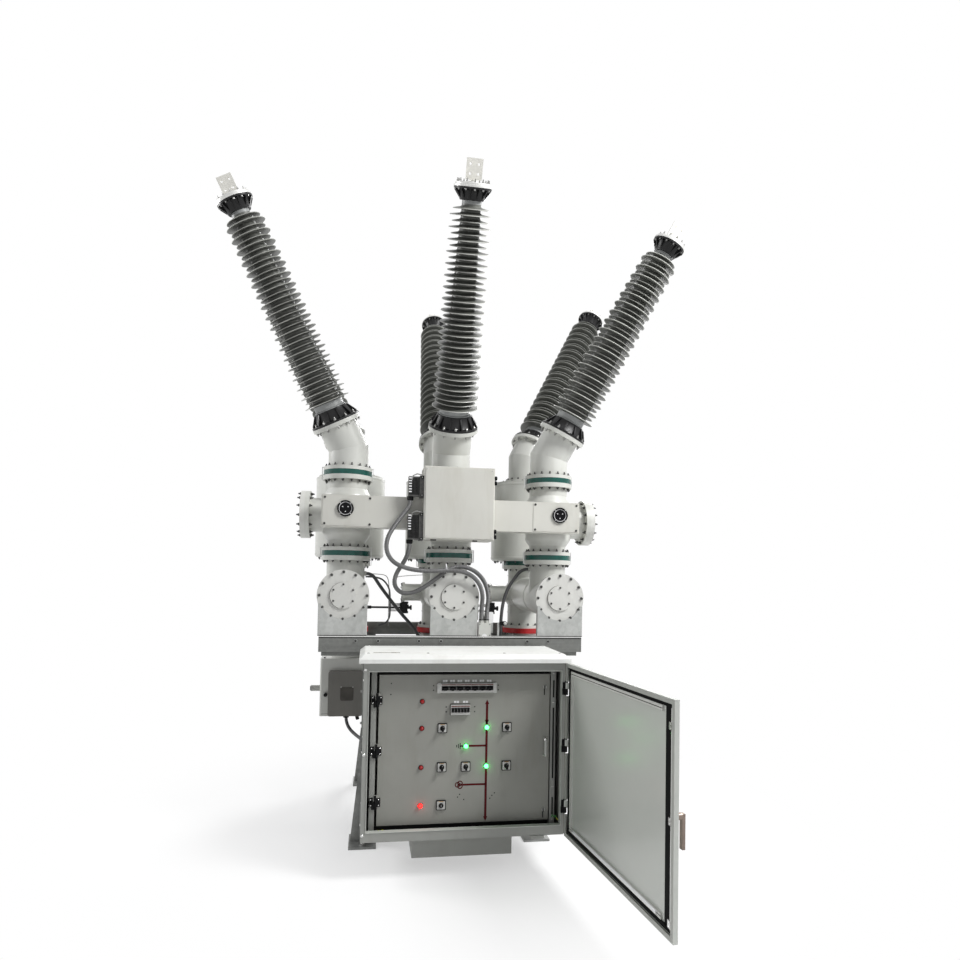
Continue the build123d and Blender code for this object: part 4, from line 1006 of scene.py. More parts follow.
# Multi-pin connectors: ribs on the hoods, pale locking teeth and levers
def connector_trim():
    trim = Shape()
    left = box_low.x
    face = connector_y - 0.028
    for low, high in ((0.889, 1.028), (0.611, 0.789)):
        bottom = frame_top + low
        top = frame_top + high
        count = 8
        for index in range(count):
            x = left - 0.032 - 0.058 * index / (count - 1)
            trim.block(front(x, face, (bottom + top) / 2), 0.0042, high - low - 0.030, 0.0, 0.004)
        for index in range(6):
            z = top - 0.018 - 0.0175 * index
            trim.block(front(left - 0.087, face - 0.003, z), 0.018, 0.0075, 0.0, 0.005, 1, 0.001)
        for z in (bottom + 0.012, top - 0.012):
            trim.block(front(left - 0.012, connector_y - 0.035, z), 0.020, 0.014, 0.0, 0.006, 0, 0.002)
            screw(trim, front(left - 0.012, connector_y - 0.041, z), 0.0045, 2)
        lever = [(left - 0.010, face - 0.004, top + 0.004), (left - 0.045, face - 0.006, top + 0.010)]
        lever += [(left - 0.070, face - 0.004, top - 0.002), (left - 0.078, face - 0.003, top - 0.030)]
        trim.tube(lever, 0.004, 8, 2)
        nut = up(conduit_exit_x, connector_y, bottom - 0.014)
        trim.disc(nut, 0.021, 0.020, 6)
        trim.lathe(shift(nut, 0, 0, -0.006), [(0, 0), (0.018, 0), (0.019, 0.006), (0, 0.006)], 24)
    trim.make("connector_trim", "bay", [black_plastic, white_plastic_and_glints, steel])


# Current transformers: bolts of the lids and of the bottom rims, raised beads
def transformer_trim():
    trim = Shape()
    for x in phases.values():
        bolt_ring(trim, up(x, column_y, ct_high.z), 0.225, 16, 0.007, 0.1)
        bolt_ring(trim, down(x, column_y, ct_low.z), 0.236, 16, 0.008, 0.1, 0.008)
        for z, start in ((ct_low.z, 0.016), (ct_high.z, -0.034)):
            bead = [
                (0.2665, start), (0.2690, start + 0.002), (0.2690, start + 0.014),
                (0.2665, start + 0.016),
            ]
            trim.lathe(up(x, column_y, z), bead, 72, 2)
    trim.make("transformer_trim", "bay", [dark_steel, steel, light_grey])


# Rear stubs: flange bolts, the black valves and the white pipe sleeves
def gas_fittings():
    fittings = Shape()
    valve_low, valve_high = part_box("gas_piping")
    pipe_z = valve_high.z - 0.043
    for x in (phases["centre"], phases["right"]):
        end = x - 0.285
        bolt_ring(fittings, side_on(end, column_y, barrel_z, -1), 0.068, 8, 0.007, 0.2)
        profile = [(0.052, 0), (0.052, 0.004), (0, 0.004)]
        fittings.lathe(side_on(end, column_y, barrel_z, -1), profile, 32, 3)
        for z, radius in (
            (valve_high.z - 0.004, 0.030), (valve_high.z - 0.028, 0.034),
            (valve_low.z + 0.006, 0.030),
        ):
            fittings.disc(up(end + 0.023, column_y, z - 0.009), radius, 0.018, 6, 2)
        for z in (valve_high.z - 0.020, valve_high.z - 0.064):
            nut = side_on(end, column_y, z, -1)
            fittings.disc(nut, 0.017, 0.016, 6, 2)
            fittings.disc(shift(nut, 0, 0, 0.016), 0.0115, 0.085, 20, 3)
        knob = side_on(end + 0.046, column_y, valve_high.z - 0.043, 1)
        profile = [(0, 0), (0.012, 0), (0.012, 0.020), (0.020, 0.022), (0.020, 0.034), (0, 0.034)]
        fittings.lathe(knob, profile, 12, 2)
    left_end = phases["left"] + 0.122
    collar = side_on(left_end, column_y, pipe_z, 1)
    profile = [(0, 0), (0.020, 0), (0.020, 0.018), (0.013, 0.020), (0.013, 0.060), (0, 0.060)]
    fittings.lathe(collar, profile, 12, 2)
    fittings.make("gas_fittings", "bay", [dark_steel, steel, black_cast, white_plastic_and_glints])


# Rear columns: bolts of the foot rings, seams of the tees
def column_trim():
    trim = Shape()
    column_seam = [(0.122, -0.004), (0.126, -0.003), (0.126, 0.003), (0.122, 0.004)]
    barrel_seam = [(0.130, -0.004), (0.1335, -0.003), (0.1335, 0.003), (0.130, 0.004)]
    for x in phases.values():
        bolt_ring(trim, down(x, column_y, ring_low.z - 0.004), foot_bolt_radius, 12, 0.009, 0.13)
        for z in (barrel_z + 0.150, barrel_z - 0.150):
            trim.lathe(up(x, column_y, z), column_seam, 64, 2)
        for y in (0.30, riser_y + 0.170):
            trim.lathe(back(x, y, barrel_z), barrel_seam, 64, 2)
    trim.make("column_trim", "bay", [dark_steel, steel, light_grey])


# Drive mechanisms: cover screws, the handle recess shown as a dark patch of painted shade, plug, knob and
# cable gland
def mechanism_trim():
    trim = Shape()
    cover_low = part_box("mechanism_covers")[0]
    for x in phases.values():
        recess = front(x + 0.012, cover_low.y, 0.778)
        # The recess is not cut: two thin plates darker than the cover stand for its shade (painted shade).
        trim.block(recess, 0.100, 0.104, 0.0, 0.0015, 4, 0.012)
        trim.block(shift(recess, 0, -0.004, 0.0015), 0.084, 0.086, 0.0, 0.0008, 4, 0.008)
        for side in (-1, 1):
            screw(trim, shift(recess, side * 0.044, 0.052, 0.0008), 0.0055, 1)
        knob = front(x - 0.150, mech_low.y, 0.768)
        profile = [(0, 0), (0.013, 0), (0.011, 0.014), (0.014, 0.022), (0.014, 0.030), (0, 0.030)]
        trim.lathe(knob, profile, 20, 2)
        stub = down(x + 0.086, mech_low.y + 0.050, mech_low.z) @ Matrix.Rotation(radians(16), 4, "Y")
        profile = [(0, 0), (0.014, 0), (0.014, 0.040), (0.011, 0.044), (0, 0.044)]
        trim.lathe(shift(stub, 0, 0, -0.004), profile, 16, 2)
        plug = side_on(x - 0.195 - 0.070, column_y - 0.0625, mech_high.z - 0.367, -1)
        for ring in range(9):
            profile = [(0.0215, 0), (0.0236, 0.0018), (0.0236, 0.0036), (0.0215, 0.0054)]
            trim.lathe(shift(plug, 0, 0, -0.066 + ring * 0.0075), profile, 24, 1)
        trim.lathe(plug, [(0.0205, 0), (0.017, 0.006), (0, 0.006)], 24, 2)
        for side_x in (-1, 1):
            for side_y in (-1, 1):
                bolt(trim, up(x + side_x * 0.165, column_y + side_y * 0.095, mech_high.z - 0.132), 0.007)
        gland = down(x + 0.008, 0.330, mech_low.z)
        trim.disc(shift(gland, 0, 0, -0.001), 0.022, 0.016, 6, 2)
        seam_z = mech_low.z + 0.018
        trim.block(front(x, mech_low.y, seam_z), 0.356, 0.0025, 0.0, 0.0006, 3)
    materials = [dark_steel, steel, black_plastic, dark_cover_and_shade, recess_shade]
    trim.make("mechanism_trim", "bay", materials)


# Junction box: lid, screws, the grey regulator and the fittings beside it
def junction_trim():
    trim = Shape()
    face = junction_low.y
    top = frame_top + 0.088
    lid = front(junction_x, face, frame_top + 0.044)
    trim.block(lid, 0.080, 0.086, 0.0, 0.006, 0, 0.004)
    for side_x in (-1, 1):
        for side_y in (-1, 1):
            screw(trim, shift(lid, side_x * 0.033, side_y * 0.036, 0.006), 0.0045, 2)
    trim.prism(
        shift(lid, -0.002, -0.043, 0.006),
        [(0.017 * cos(pi * i / 12), 0.017 * sin(pi * i / 12)) for i in range(13)], 0.0, 0.003, 1,
    )
    for side in (-1, 1):
        nut = up(junction_x + side * 0.018, junction_y, top)
        profile = [(0, 0), (0.0178, 0), (0.0178, 0.012), (0.0165, 0.014), (0.0165, 0.022), (0, 0.022)]
        trim.lathe(nut, profile, 6, 3)
    regulator = side_on(junction_x - 0.004, face + 0.088, 1.425, 1)
    profile = [(0, -0.014), (0.026, -0.014), (0.028, -0.008), (0.028, 0.042), (0.024, 0.048), (0, 0.048)]
    trim.lathe(regulator, profile, 28, 4)
    trim.block(front(0.247, face + 0.080, 1.425), 0.034, 0.070, 0.0, 0.040, 1, 0.004)
    profile = [(0, 0), (0.011, 0), (0.011, 0.010), (0.008, 0.012), (0, 0.012)]
    trim.lathe(front(0.186, face + 0.062, 1.413), profile, 20, 1)
    for x, z, width, height in ((0.167, 1.470, 0.016, 0.130), (0.264, 1.353, 0.024, 0.070)):
        trim.block(front(x, face + 0.115, z), width, height, 0.0, 0.004, 5)
    post = front(0.300, face + 0.060, 1.348)
    trim.block(post, 0.012, 0.086, 0.0, 0.012, 5)
    trim.block(front(0.330, face + 0.060, 1.388), 0.044, 0.026, 0.0, 0.026, 3, 0.005)
    bolt(trim, front(0.342, face + 0.034, 1.388), 0.008)
    materials = [light_grey, white_plastic_and_glints, steel, black_plastic, device_grey, plate_zinc]
    trim.make("junction_trim", "bay", materials)


# Thin pipes and wires behind the row, and the tie round the conduits
def thin_pipes():
    pipes = Shape()
    y = 0.15
    black_run = [
        (-0.575, y, 1.678), (-0.500, y, 1.674), (-0.444, y, 1.654), (-0.402, y, 1.600),
        (-0.390, y, 1.540),
    ]
    black_run += [(-0.387, y, 1.428), (-0.392, y, 1.372), (-0.420, y, 1.330), (-0.470, y, 1.313)]
    pipes.tube(smooth(black_run), 0.0065, 10, 0)
    pale_run = [
        (-0.578, 0.135, 1.700), (-0.500, 0.135, 1.699), (-0.430, 0.135, 1.690), (-0.404, 0.135, 1.650)
    ]
    pale_run += [(-0.398, 0.135, 1.560), (-0.398, 0.135, 1.480), (-0.398, 0.150, 1.310)]
    pipes.tube(smooth(pale_run), 0.0028, 8, 1)
    wire = [
        (-0.354, 0.16, 1.600), (-0.350, 0.16, 1.655), (-0.325, 0.16, 1.682), (-0.150, 0.16, 1.698),
        (-0.110, 0.16, 1.690),
    ]
    pipes.tube(smooth(wire), 0.0024, 8, 1)
    tie = Vector((-0.060, -0.683, 1.742))
    profile = [(0.026, -0.003), (0.030, -0.003), (0.030, 0.003), (0.026, 0.003)]
    pipes.lathe(place(tie, (1, 0.0, 0.10), (0, 1, 0)), profile, 24, 2)
    pipes.make("thin_pipes", "bay", [hose_dark, steel, white_plastic_and_glints])


def smooth(points, steps=6):
    """Points along a soft curve through the given ones."""
    line = [Vector(point) for point in points]
    result = []
    for index in range(len(line) - 1):
        before = line[max(index - 1, 0)]
        start = line[index]
        end = line[index + 1]
        after = line[min(index + 2, len(line) - 1)]
        for step in range(steps):
            t = step / steps
            result.append(
                0.5 * (2 * start + (end - before) * t + (2 * before - 5 * start + 4 * end - after) * t ** 2
                       + (3 * start - before - 3 * end + after) * t ** 3)
            )
    result.append(line[-1])
    return result


# Cabinet: bead round the opening, its lighter colour a painted highlight, a dark hinge strip that is partly
# painted shade, screws, marks on the roof and the gland box's flange
cabinet_middle = (shell_low.x + shell_high.x) / 2
cabinet_top = shell_high.z
cabinet_bottom = shell_low.z
cabinet_front = shell_low.y
panel_front = cabinet_front + 0.079
opening_left = shell_low.x + 0.028
opening_right = shell_high.x - 0.017
opening_top = cabinet_top - 0.046
opening_bottom = cabinet_bottom + 0.052
panel_hinges = (0.985, 0.701, 0.416)
door_hinge_drops = (0.113, 0.440, 0.785)


def cabinet_trim():
    trim = Shape()
    middle_x = (opening_left + opening_right) / 2
    middle_z = (opening_top + opening_bottom) / 2
    mouth = front(middle_x, cabinet_front, middle_z)
    # The bead is a real lip; its lighter door paint is a painted highlight of its lit edge.
    trim.ring_frame(mouth, opening_right - opening_left, opening_top - opening_bottom, 0.003, -0.030, 0.004)
    for x, z in ((shell_low.x + 0.010, 1.166), (shell_low.x + 0.010, 0.262), (shell_low.x + 0.010, 0.700)):
        screw(trim, front(x, cabinet_front, z), 0.008, 1)
    for z in (0.30, 0.70, 1.10):
        for y in (cabinet_front + 0.06, shell_high.y - 0.06):
            for x, way in ((shell_low.x, -1), (shell_high.x, 1)):
                screw(trim, side_on(x, y, z, way), 0.006, 1)
    trim.block(up(-0.440, roof_low.y + 0.100, roof_high.z), 0.150, 0.012, 0.0, 0.0012, 5)
    trim.block(up(-0.400, roof_low.y + 0.100, roof_high.z), 0.030, 0.022, 0.0, 0.0014, 5)
    # A dark strip at the hinge corner: the stile is real, and its dark colour is partly painted shade.
    corner = up(shell_high.x + 0.0035, cabinet_front + 0.010, cabinet_bottom + 0.004)
    trim.block(corner, 0.009, 0.018, 0.0, cabinet_top - cabinet_bottom - 0.008, 2)
    for drop in door_hinge_drops:
        trim.block(
            shift(corner, 0.004, 0.0, cabinet_top - cabinet_bottom - drop - 0.078), 0.022, 0.020,
            0.0, 0.080, 4,
        )
        hinge_leaf = front(shell_high.x - 0.008, cabinet_front, cabinet_top - drop - 0.035)
        trim.block(hinge_leaf, 0.015, 0.072, 0.0, 0.003, 4)
    for x in (roof_low.x + 0.05, cabinet_middle - 0.22, cabinet_middle + 0.22, roof_high.x - 0.05):
        for y in (roof_low.y + 0.06, roof_high.y - 0.05):
            screw(trim, up(x, y, roof_high.z), 0.008, 1)
    box_middle_y = cabinet_front + 0.064 + 0.165
    below = down(cabinet_middle, box_middle_y, cabinet_bottom)
    trim.block(below, 0.600, 0.352, 0.0, 0.004, 3)
    for x in (-0.23, 0.0, 0.23):
        profile = [(0, 0), (0.030, 0), (0.030, 0.014), (0.022, 0.020), (0, 0.020)]
        trim.lathe(down(cabinet_middle + x, box_middle_y, cabinet_bottom - 0.121), profile, 28, 4)
        bolt(trim, front(cabinet_middle + x, box_middle_y - 0.165, cabinet_bottom - 0.020), 0.005)
    trim.block(front(0.430, cabinet_front + 0.004, cabinet_bottom - 0.008), 0.080, 0.016, 0.0, 0.010, 3)
    materials = [door_grey_and_highlight, bright_metal_and_highlight, dark_cover_and_shade, cabinet_grey, black_plastic, roof_scratch]
    trim.make("cabinet_trim", "bay", materials)


def stile_trim():
    """Slots, edge strips and hinge halves inside the cabinet, beside the swing panel, and flat black sheets
    of painted shade where the inside lies deep in shadow.
    """
    trim = Shape()
    panel_right = panel_high.x
    strip_y = panel_front + 0.001
    for low, high in ((0.99, 1.09), (0.52, 0.93), (0.31, 0.41)):
        trim.block(front(panel_right + 0.025, strip_y, (low + high) / 2), 0.009, high - low, 0.0, 0.0016, 0)
    for z in (1.13, 0.96, 0.47, 0.28):
        screw(trim, front(panel_right + 0.025, strip_y, z), 0.004, 1)
    plate_x = panel_low.x + 0.002 - 0.0185
    for z in panel_hinges:
        plate = front(plate_x, panel_front + 0.001, z)
        trim.block(plate, 0.0185, 0.048, 0.0, 0.0085, 0, 0.002)
        for side in (-1, 1):
            screw(trim, shift(plate, -0.003, side * 0.016, 0.0085), 0.0036, 1)
    # Flat black sheets on the floor and ceiling inside, and above and below the panel: painted shade of the
    # deep inside, not parts.
    trim.block(
        up(cabinet_middle, cabinet_front + 0.110, cabinet_bottom + 0.0026), 1.08, 0.11, 0.0, 0.003, 0
    )
    trim.block(down(cabinet_middle, cabinet_front + 0.110, cabinet_top - 0.0026), 1.08, 0.11, 0.0, 0.003, 0)
    trim.block(front(cabinet_middle, panel_front + 0.004, (panel_high.z + 0.004 + opening_top + 0.008) / 2),
               1.00, opening_top + 0.004 - panel_high.z, 0.0, 0.002, 0)
    trim.block(front(cabinet_middle, panel_front + 0.004, (cabinet_bottom + panel_low.z) / 2),
               1.00, panel_low.z - cabinet_bottom - 0.008, 0.0, 0.002, 0)
    duct = front(cabinet_middle + 0.15, cabinet_front + 0.16, cabinet_bottom + 0.055)
    trim.block(duct, 0.56, 0.040, 0.0, 0.050, 2)
    trim.make("stile_trim", "bay", [flat_black_and_shade, bright_metal_and_highlight, device_grey])


# Swing panel: breakers, lamps, switches and the mimic diagram
def panel_at(x, drop, out=0.0):
    """A frame on the panel's face, x from the cabinet's middle and drop from its top."""
    return front(cabinet_middle + x, panel_front - out, cabinet_top - drop)


lamp_column = -0.243
left_column = -0.125
middle_column = 0.013
mimic_column = 0.133
right_column = 0.251
top_lamp_drop = 0.229
upper_drop = 0.381
earth_drop = 0.486
lower_drop = 0.602
bottom_drop = 0.816
bank_drop = 0.152
small_drop = 0.276
knob_spots = (
    (left_column, upper_drop), (right_column, upper_drop), (left_column, lower_drop),
    (middle_column, lower_drop), (right_column, lower_drop),
)
key_spot = (left_column, bottom_drop)


def breaker_bank(shape, left, right, drop, height, poles, toggle_width):
    """A row of breakers: pale bodies with a raised middle, brown strip and black toggles."""
    pitch_x = (right - left) / poles
    middle = (left + right) / 2
    shape.block(panel_at(middle, drop), right - left, height, 0.0, 0.0035, 4)
    for index in range(poles):
        x = left + pitch_x * (index + 0.5)
        width = pitch_x - 0.0012
        shape.block(panel_at(x, drop), width, height - 0.004, 0.0, 0.016, 0, 0.001)
        shape.block(panel_at(x, drop), width - 0.0006, height * 0.50, 0.016, 0.022, 0, 0.001)
        shape.block(panel_at(x, drop - height * 0.38), width, 0.0050, 0.016, 0.0230, 2)
        slot = panel_at(x, drop + 0.004)
        shape.block(shift(slot, 0, 0.003), toggle_width, 0.009, 0.022, 0.0310, 1, 0.001)
        shape.block(shift(slot, 0, -0.006), toggle_width * 0.5, 0.009, 0.022, 0.0236, 1, 0.001)
        for end in (-1, 1):
            for side in (-1, 1):
                screw(
                    shape, panel_at(x + side * width * 0.22, drop + end * height * 0.33, 0.016),
                    0.0022, 3,
                )


def breakers():
    banks = Shape()
    bank_left = -0.136
    bank_width = 0.300
    bank_poles = 7
    breaker_bank(banks, bank_left, bank_left + bank_width, bank_drop, 0.052, bank_poles, 0.030)
    for x in (-0.149, 0.175):
        banks.block(panel_at(x, bank_drop), 0.019, 0.056, 0.0, 0.019, 5, 0.002)
        screw(banks, panel_at(x, bank_drop, 0.019), 0.004, 3)
    for index in range(bank_poles):
        x = bank_left + bank_width * (index + 0.5) / bank_poles
        for side in (-0.006, 0.006):
            banks.block(panel_at(x + side * 1.2, bank_drop - 0.038), 0.0125, 0.012, 0.0, 0.0012, 5)
    breaker_bank(banks, -0.078, 0.029, small_drop, 0.056, 6, 0.011)
    for x in (-0.046, 0.006):
        for side in (-0.007, 0.007):
            banks.block(panel_at(x + side * 1.1, small_drop - 0.042), 0.013, 0.012, 0.0, 0.0012, 5)
    for ends, drops in (((-0.180, 0.197), (0.140, 0.166)), ((-0.105, 0.060), (0.262, 0.290))):
        for x in ends:
            for drop in drops:
                screw(banks, panel_at(x, drop), 0.004, 3)
    banks.ring_frame(panel_at(-0.0245, small_drop), 0.115, 0.064, 0.004, 0.0, 0.0045, 1)
    materials = [breaker_pale, black_plastic, brown_strip, dark_steel, black_plastic, white_plastic_and_glints]
    banks.make("breaker_banks", "panel", materials)


def switches():
    plates = Shape()
    for x, drop in (*knob_spots, key_spot):
        base = panel_at(x, drop)
        plates.block(base, 0.055, 0.055, 0.0, 0.0080, 1, 0.004)
        plates.block(base, 0.0460, 0.0460, 0.0080, 0.0092, 0, 0.003)
        plates.block(shift(base, 0, 0.0215, 0.0092), 0.026, 0.0022, 0.0, 0.0004, 2)
        for angle in (0.0, pi / 2, pi):
            mark = shift(base, 0.0200 * cos(angle), 0.0175 * sin(angle) - 0.002, 0.0092)
            plates.block(mark, 0.0016, 0.0016, 0.0, 0.0003, 1)
    key = panel_at(*key_spot, 0.0092)
    plates.lathe(key, [(0, 0), (0.0135, 0), (0.0135, 0.006), (0.0105, 0.009), (0, 0.009)], 32, 1)
    plates.disc(shift(key, 0, 0, 0.009), 0.0085, 0.0015, 24, 1)
    plates.block(shift(key, 0, 0, 0.0105), 0.0016, 0.010, 0.0, 0.0004, 3)
    plates.make("switch_plates", "panel", [device_grey, black_plastic, amber, bright_metal_and_highlight])


def knobs():
    """Turning knobs: a round boss with a pointed grip, one for each cam switch."""
    for index in range(1, len(knob_spots) + 1):
        knob = Shape()
        low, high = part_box(f"switch_knob_{index}")
        base = front((low.x + high.x) / 2, high.y, (low.z + high.z) / 2)
        profile = [(0, 0), (0.0145, 0), (0.0145, 0.003), (0.0125, 0.005), (0.0120, 0.014), (0, 0.014)]
        knob.lathe(base, profile, 32)
        grip = [
            (-0.0055, -0.0150), (0.0055, -0.0150), (0.0060, 0.004), (0.0035, 0.0165),
            (-0.0035, 0.0165), (-0.0060, 0.004),
        ]
        knob.prism(base, grip, 0.012, 0.027)
        knob.block(shift(base, 0, 0.0115, 0.027), 0.0012, 0.005, 0.0, 0.0004, 1)
        knob.make(
            f"turning_knob_{index}", f"knob_{index}", [black_plastic, white_plastic_and_glints],
            bevel=0.0008, stands_for=(f"switch_knob_{index}",),
        )


def lamps():
    lenses = Shape()
    lit = Shape()
    dome = [
        (0.0118, 0.0), (0.0118, 0.006), (0.0104, 0.0105), (0.0074, 0.0138), (0.0036, 0.0154),
        (0, 0.0158),
    ]
    unlit, red, lit_green = 0, 1, 2
    places = [(lamp_column, drop, unlit) for drop in (top_lamp_drop, upper_drop, lower_drop)]
    places.append((lamp_column, bottom_drop, red))
    places += [(mimic_column, upper_drop, lit_green), (middle_column, earth_drop, lit_green)]
    places.append((mimic_column, lower_drop, lit_green))
    for x, drop, kind in places:
        base = panel_at(x, drop)
        rim = [
            (0, 0), (0.0150, 0), (0.0150, 0.0030), (0.0138, 0.0044), (0.0122, 0.0044),
            (0.0120, 0.0020), (0, 0.0020),
        ]
        lenses.lathe(base, rim, 32, 1)
        target = lit if kind else lenses
        target.lathe(shift(base, 0, 0, 0.002), dome, 32, int(kind == lit_green))
    lenses.make("lamps_unlit", "panel", [red_lens, clear_lens], stands_for=("indicator_lamps",))
    lit.make("lamps_lit", "panel", [red_lit, green_lit])


def mimic():
    """Dark red one-line diagram, and the hinge plates, pull and latches beside it."""
    shape = Shape()
    width = 0.0135
    skin = 0.0006
    top = 0.248
    bottom = 0.890
    for start, end in (
        (top, upper_drop - 0.018),
        (upper_drop + 0.018, lower_drop - 0.018),
        (lower_drop + 0.018, bottom),
    ):
        shape.block(panel_at(mimic_column, (start + end) / 2), width, end - start, 0.0, skin)
    arrow = [(-0.0125, 0.0), (0.0125, 0.0), (0.0, 0.026)]
    shape.prism(panel_at(mimic_column, top), arrow, 0.0, skin)
    for drop in (bottom, upper_drop - 0.042):
        turned = panel_at(mimic_column, drop) @ Matrix.Rotation(pi, 4, "Z")
        shape.prism(turned, arrow, 0.0, skin)
    start = middle_column + 0.016
    shape.block(
        panel_at((start + mimic_column) / 2, earth_drop), mimic_column - start, width * 0.8, 0.0, skin
    )
    symbol = -0.022
    shape.block(
        panel_at((symbol + mimic_column) / 2 + 0.010, 0.706), mimic_column - symbol - 0.020,
        width * 0.8, 0.0, skin,
    )
    for x, drop in ((symbol - 0.009, 0.706), (symbol + 0.005, 0.698), (symbol + 0.005, 0.714)):
        ring = panel_at(x, drop)
        shape.lathe(ring, [(0.0100, 0.0), (0.0100, skin), (0.0158, skin), (0.0158, 0.0)], 32, 0)
    for index, half in enumerate((0.017, 0.012, 0.007)):
        shape.block(panel_at(-0.020 - index * 0.010, earth_drop), 0.0042, 2 * half, 0.0, skin, 1)
    shape.block(panel_at(-0.010, earth_drop), 0.022, 0.008, 0.0, skin, 1)
    for x, drop in (
        (-0.420, 0.126), (-0.422, 0.188),
        (-0.018, 0.760), (0.006, 0.790), (0.158, 0.788), (0.185, 0.758),
        (-0.030, 0.775), (0.170, 0.772),
    ):
        shape.lathe(panel_at(x, drop), [(0.0035, 0.0), (0.0035, 0.0004), (0, 0.0004)], 12, 1)
    for z in panel_hinges:
        plate = front(panel_low.x + 0.0195, panel_front, z)
        shape.block(plate, 0.030, 0.048, 0.0, 0.0075, 1, 0.002)
        for side in (-1, 1):
            screw(shape, shift(plate, 0.006, side * 0.016, 0.0075), 0.0036, 3)
    pull = panel_at(0.473, 0.450, 0.034)
    shape.lathe(pull, [(0, 0.004), (0.007, 0.004), (0.008, 0.008), (0.004, 0.012), (0, 0.012)], 16, 3)
    for drop in (0.152, 0.862):
        latch = panel_at(0.473, drop, 0.009)
        shape.block(latch, 0.005, 0.020, 0.0, 0.006, 1, 0.001)
        shape.block(panel_at(0.473, drop + 0.030), 0.005, 0.034, 0.0, 0.004, 1, 0.001)
    materials = [mimic_red, black_plastic, white_plastic_and_glints, bright_metal_and_highlight]
    shape.make("mimic_and_fixings", "panel", materials)


for hinge_z in panel_hinges:
    for name in ("swing_panel", "panel_stiles"):
        low = (panel_low.x - 0.012, panel_front - 0.03, hinge_z - 0.03)
        high = (panel_low.x + 0.012, panel_front + 0.012, hinge_z + 0.03)
        tint(name, black_plastic, low, high)


# Outer door, seen from inside: folded flange, gasket, channel with a painted shadow line on it, inner sheet
hinge_x = shell_high.x + 0.005
hinge_y = cabinet_front - 0.012
door_turn = radians(180 + 95.4)
door_way = Vector((cos(door_turn), sin(door_turn), 0))
door_normal = Vector((sin(door_turn), -cos(door_turn), 0))
door_end = hinge_x - shell_low.x
sheet_face = -0.0135


def door_at(along, z, out=0.0):
    """A frame on the door's inner side: x along the door from its hinge, y up, z out of the sheet."""
    origin = Vector((hinge_x, hinge_y, 0)) + door_way * along + door_normal * out
    return place((origin.x, origin.y, z), door_normal, door_way)


def door_trim():
    trim = Shape()
    middle_z = (cabinet_top + cabinet_bottom) / 2
    height = cabinet_top - cabinet_bottom
    start = 0.0075
    end = door_end - 0.0025
    lip = 0.020
    rim_low = 0.0035
    rim_high = 0.0058
    length = end - start
    centre = (start + end) / 2
    for z in (cabinet_top - 0.0025 - lip / 2, cabinet_bottom + 0.0025 + lip / 2):
        trim.block(door_at(centre, z), length, lip, rim_low, rim_high)
    trim.block(door_at(end - lip / 2, middle_z), lip, height - 0.005 - 2 * lip, rim_low, rim_high)
    breaks = [cabinet_bottom + 0.0025 + lip]
    for drop in reversed(door_hinge_drops):
        breaks += [cabinet_top - drop - 0.085, cabinet_top - drop + 0.015]
    breaks.append(cabinet_top - 0.0025 - lip)
    for low, high in zip(breaks[::2], breaks[1::2]):
        trim.block(door_at(start + 0.010, (low + high) / 2), lip, high - low, rim_low, rim_high)
    inner = door_at(centre, middle_z)
    gasket_width = length - 2 * lip - 0.004
    gasket_height = height - 2 * lip - 0.009
    trim.ring_frame(inner, gasket_width, gasket_height, 0.015, sheet_face, -0.0035, 1)
    channel_width = gasket_width - 0.036
    channel_height = gasket_height - 0.036
    free_side = 0.075
    channel_centre = centre - free_side / 2
    width = channel_width - free_side
    for side in (-1, 1):
        bar = door_at(channel_centre, middle_z + side * (channel_height / 2 - 0.012))
        trim.block(bar, width, 0.024, sheet_face, -0.0055, 5)
        # A thin black line on each channel bar: painted shadow line, not a groove.
        trim.block(shift(bar, 0, -side * 0.002), width, 0.003, -0.0055, -0.0050, 1)
    trim.block(
        door_at(channel_centre - width / 2 + 0.012, middle_z), 0.024, channel_height - 0.048,
        sheet_face, -0.0055, 5,
    )
    bottom_bar = door_at(channel_centre + 0.02, middle_z - channel_height / 2 + 0.017)
    trim.block(bottom_bar, width - 0.10, 0.016, -0.0055, 0.0010, 6)
    trim.block(door_at(end - lip - 0.042, middle_z), 0.058, gasket_height - 0.032, sheet_face, -0.0100, 1)
    for drop in (0.114, 0.504, 0.918):
        guide = door_at(door_end - 0.038, cabinet_top - drop, sheet_face + 0.016)
        screw(trim, shift(guide, 0, 0.009), 0.0035, 3)
        screw(trim, shift(guide, 0, -0.009), 0.0035, 3)
        trim.disc(door_at(door_end - 0.026, cabinet_top - drop + 0.022, sheet_face), 0.007, 0.010, 16, 3)
    lug = door_at(0.050, cabinet_bottom + 0.075, sheet_face)
    bolt(trim, lug, 0.006, 4, 3)
    for drop in (0.20, 0.33, 0.58, 0.70, 0.90):
        screw(trim, door_at(0.052, cabinet_top - drop, -0.0055), 0.003, 3)
    materials = [flange_grey, flat_black_and_shade, cabinet_grey, bright_metal_and_highlight, ring_red, channel_pale, white_plastic_and_glints]
    trim.make("door_inside", "outer_door", materials)


def handle_trim():
    """Lock cylinder and screw head on the outer face of the door's handle plate."""
    trim = Shape()
    origin = Vector((hinge_x, hinge_y, 0)) + door_way * (door_end - 0.052) + door_normal * (-0.024)
    for z, radius in ((cabinet_top - 0.490 + 0.052, 0.009), (cabinet_top - 0.490 - 0.060, 0.005)):
        spot = place((origin.x, origin.y, z), -door_normal, door_way)
        trim.lathe(spot, [(0, 0), (radius, 0), (radius, 0.004), (radius * 0.8, 0.006), (0, 0.006)], 24, 0)
    trim.make("handle_lock", "outer_door", [bright_metal_and_highlight])


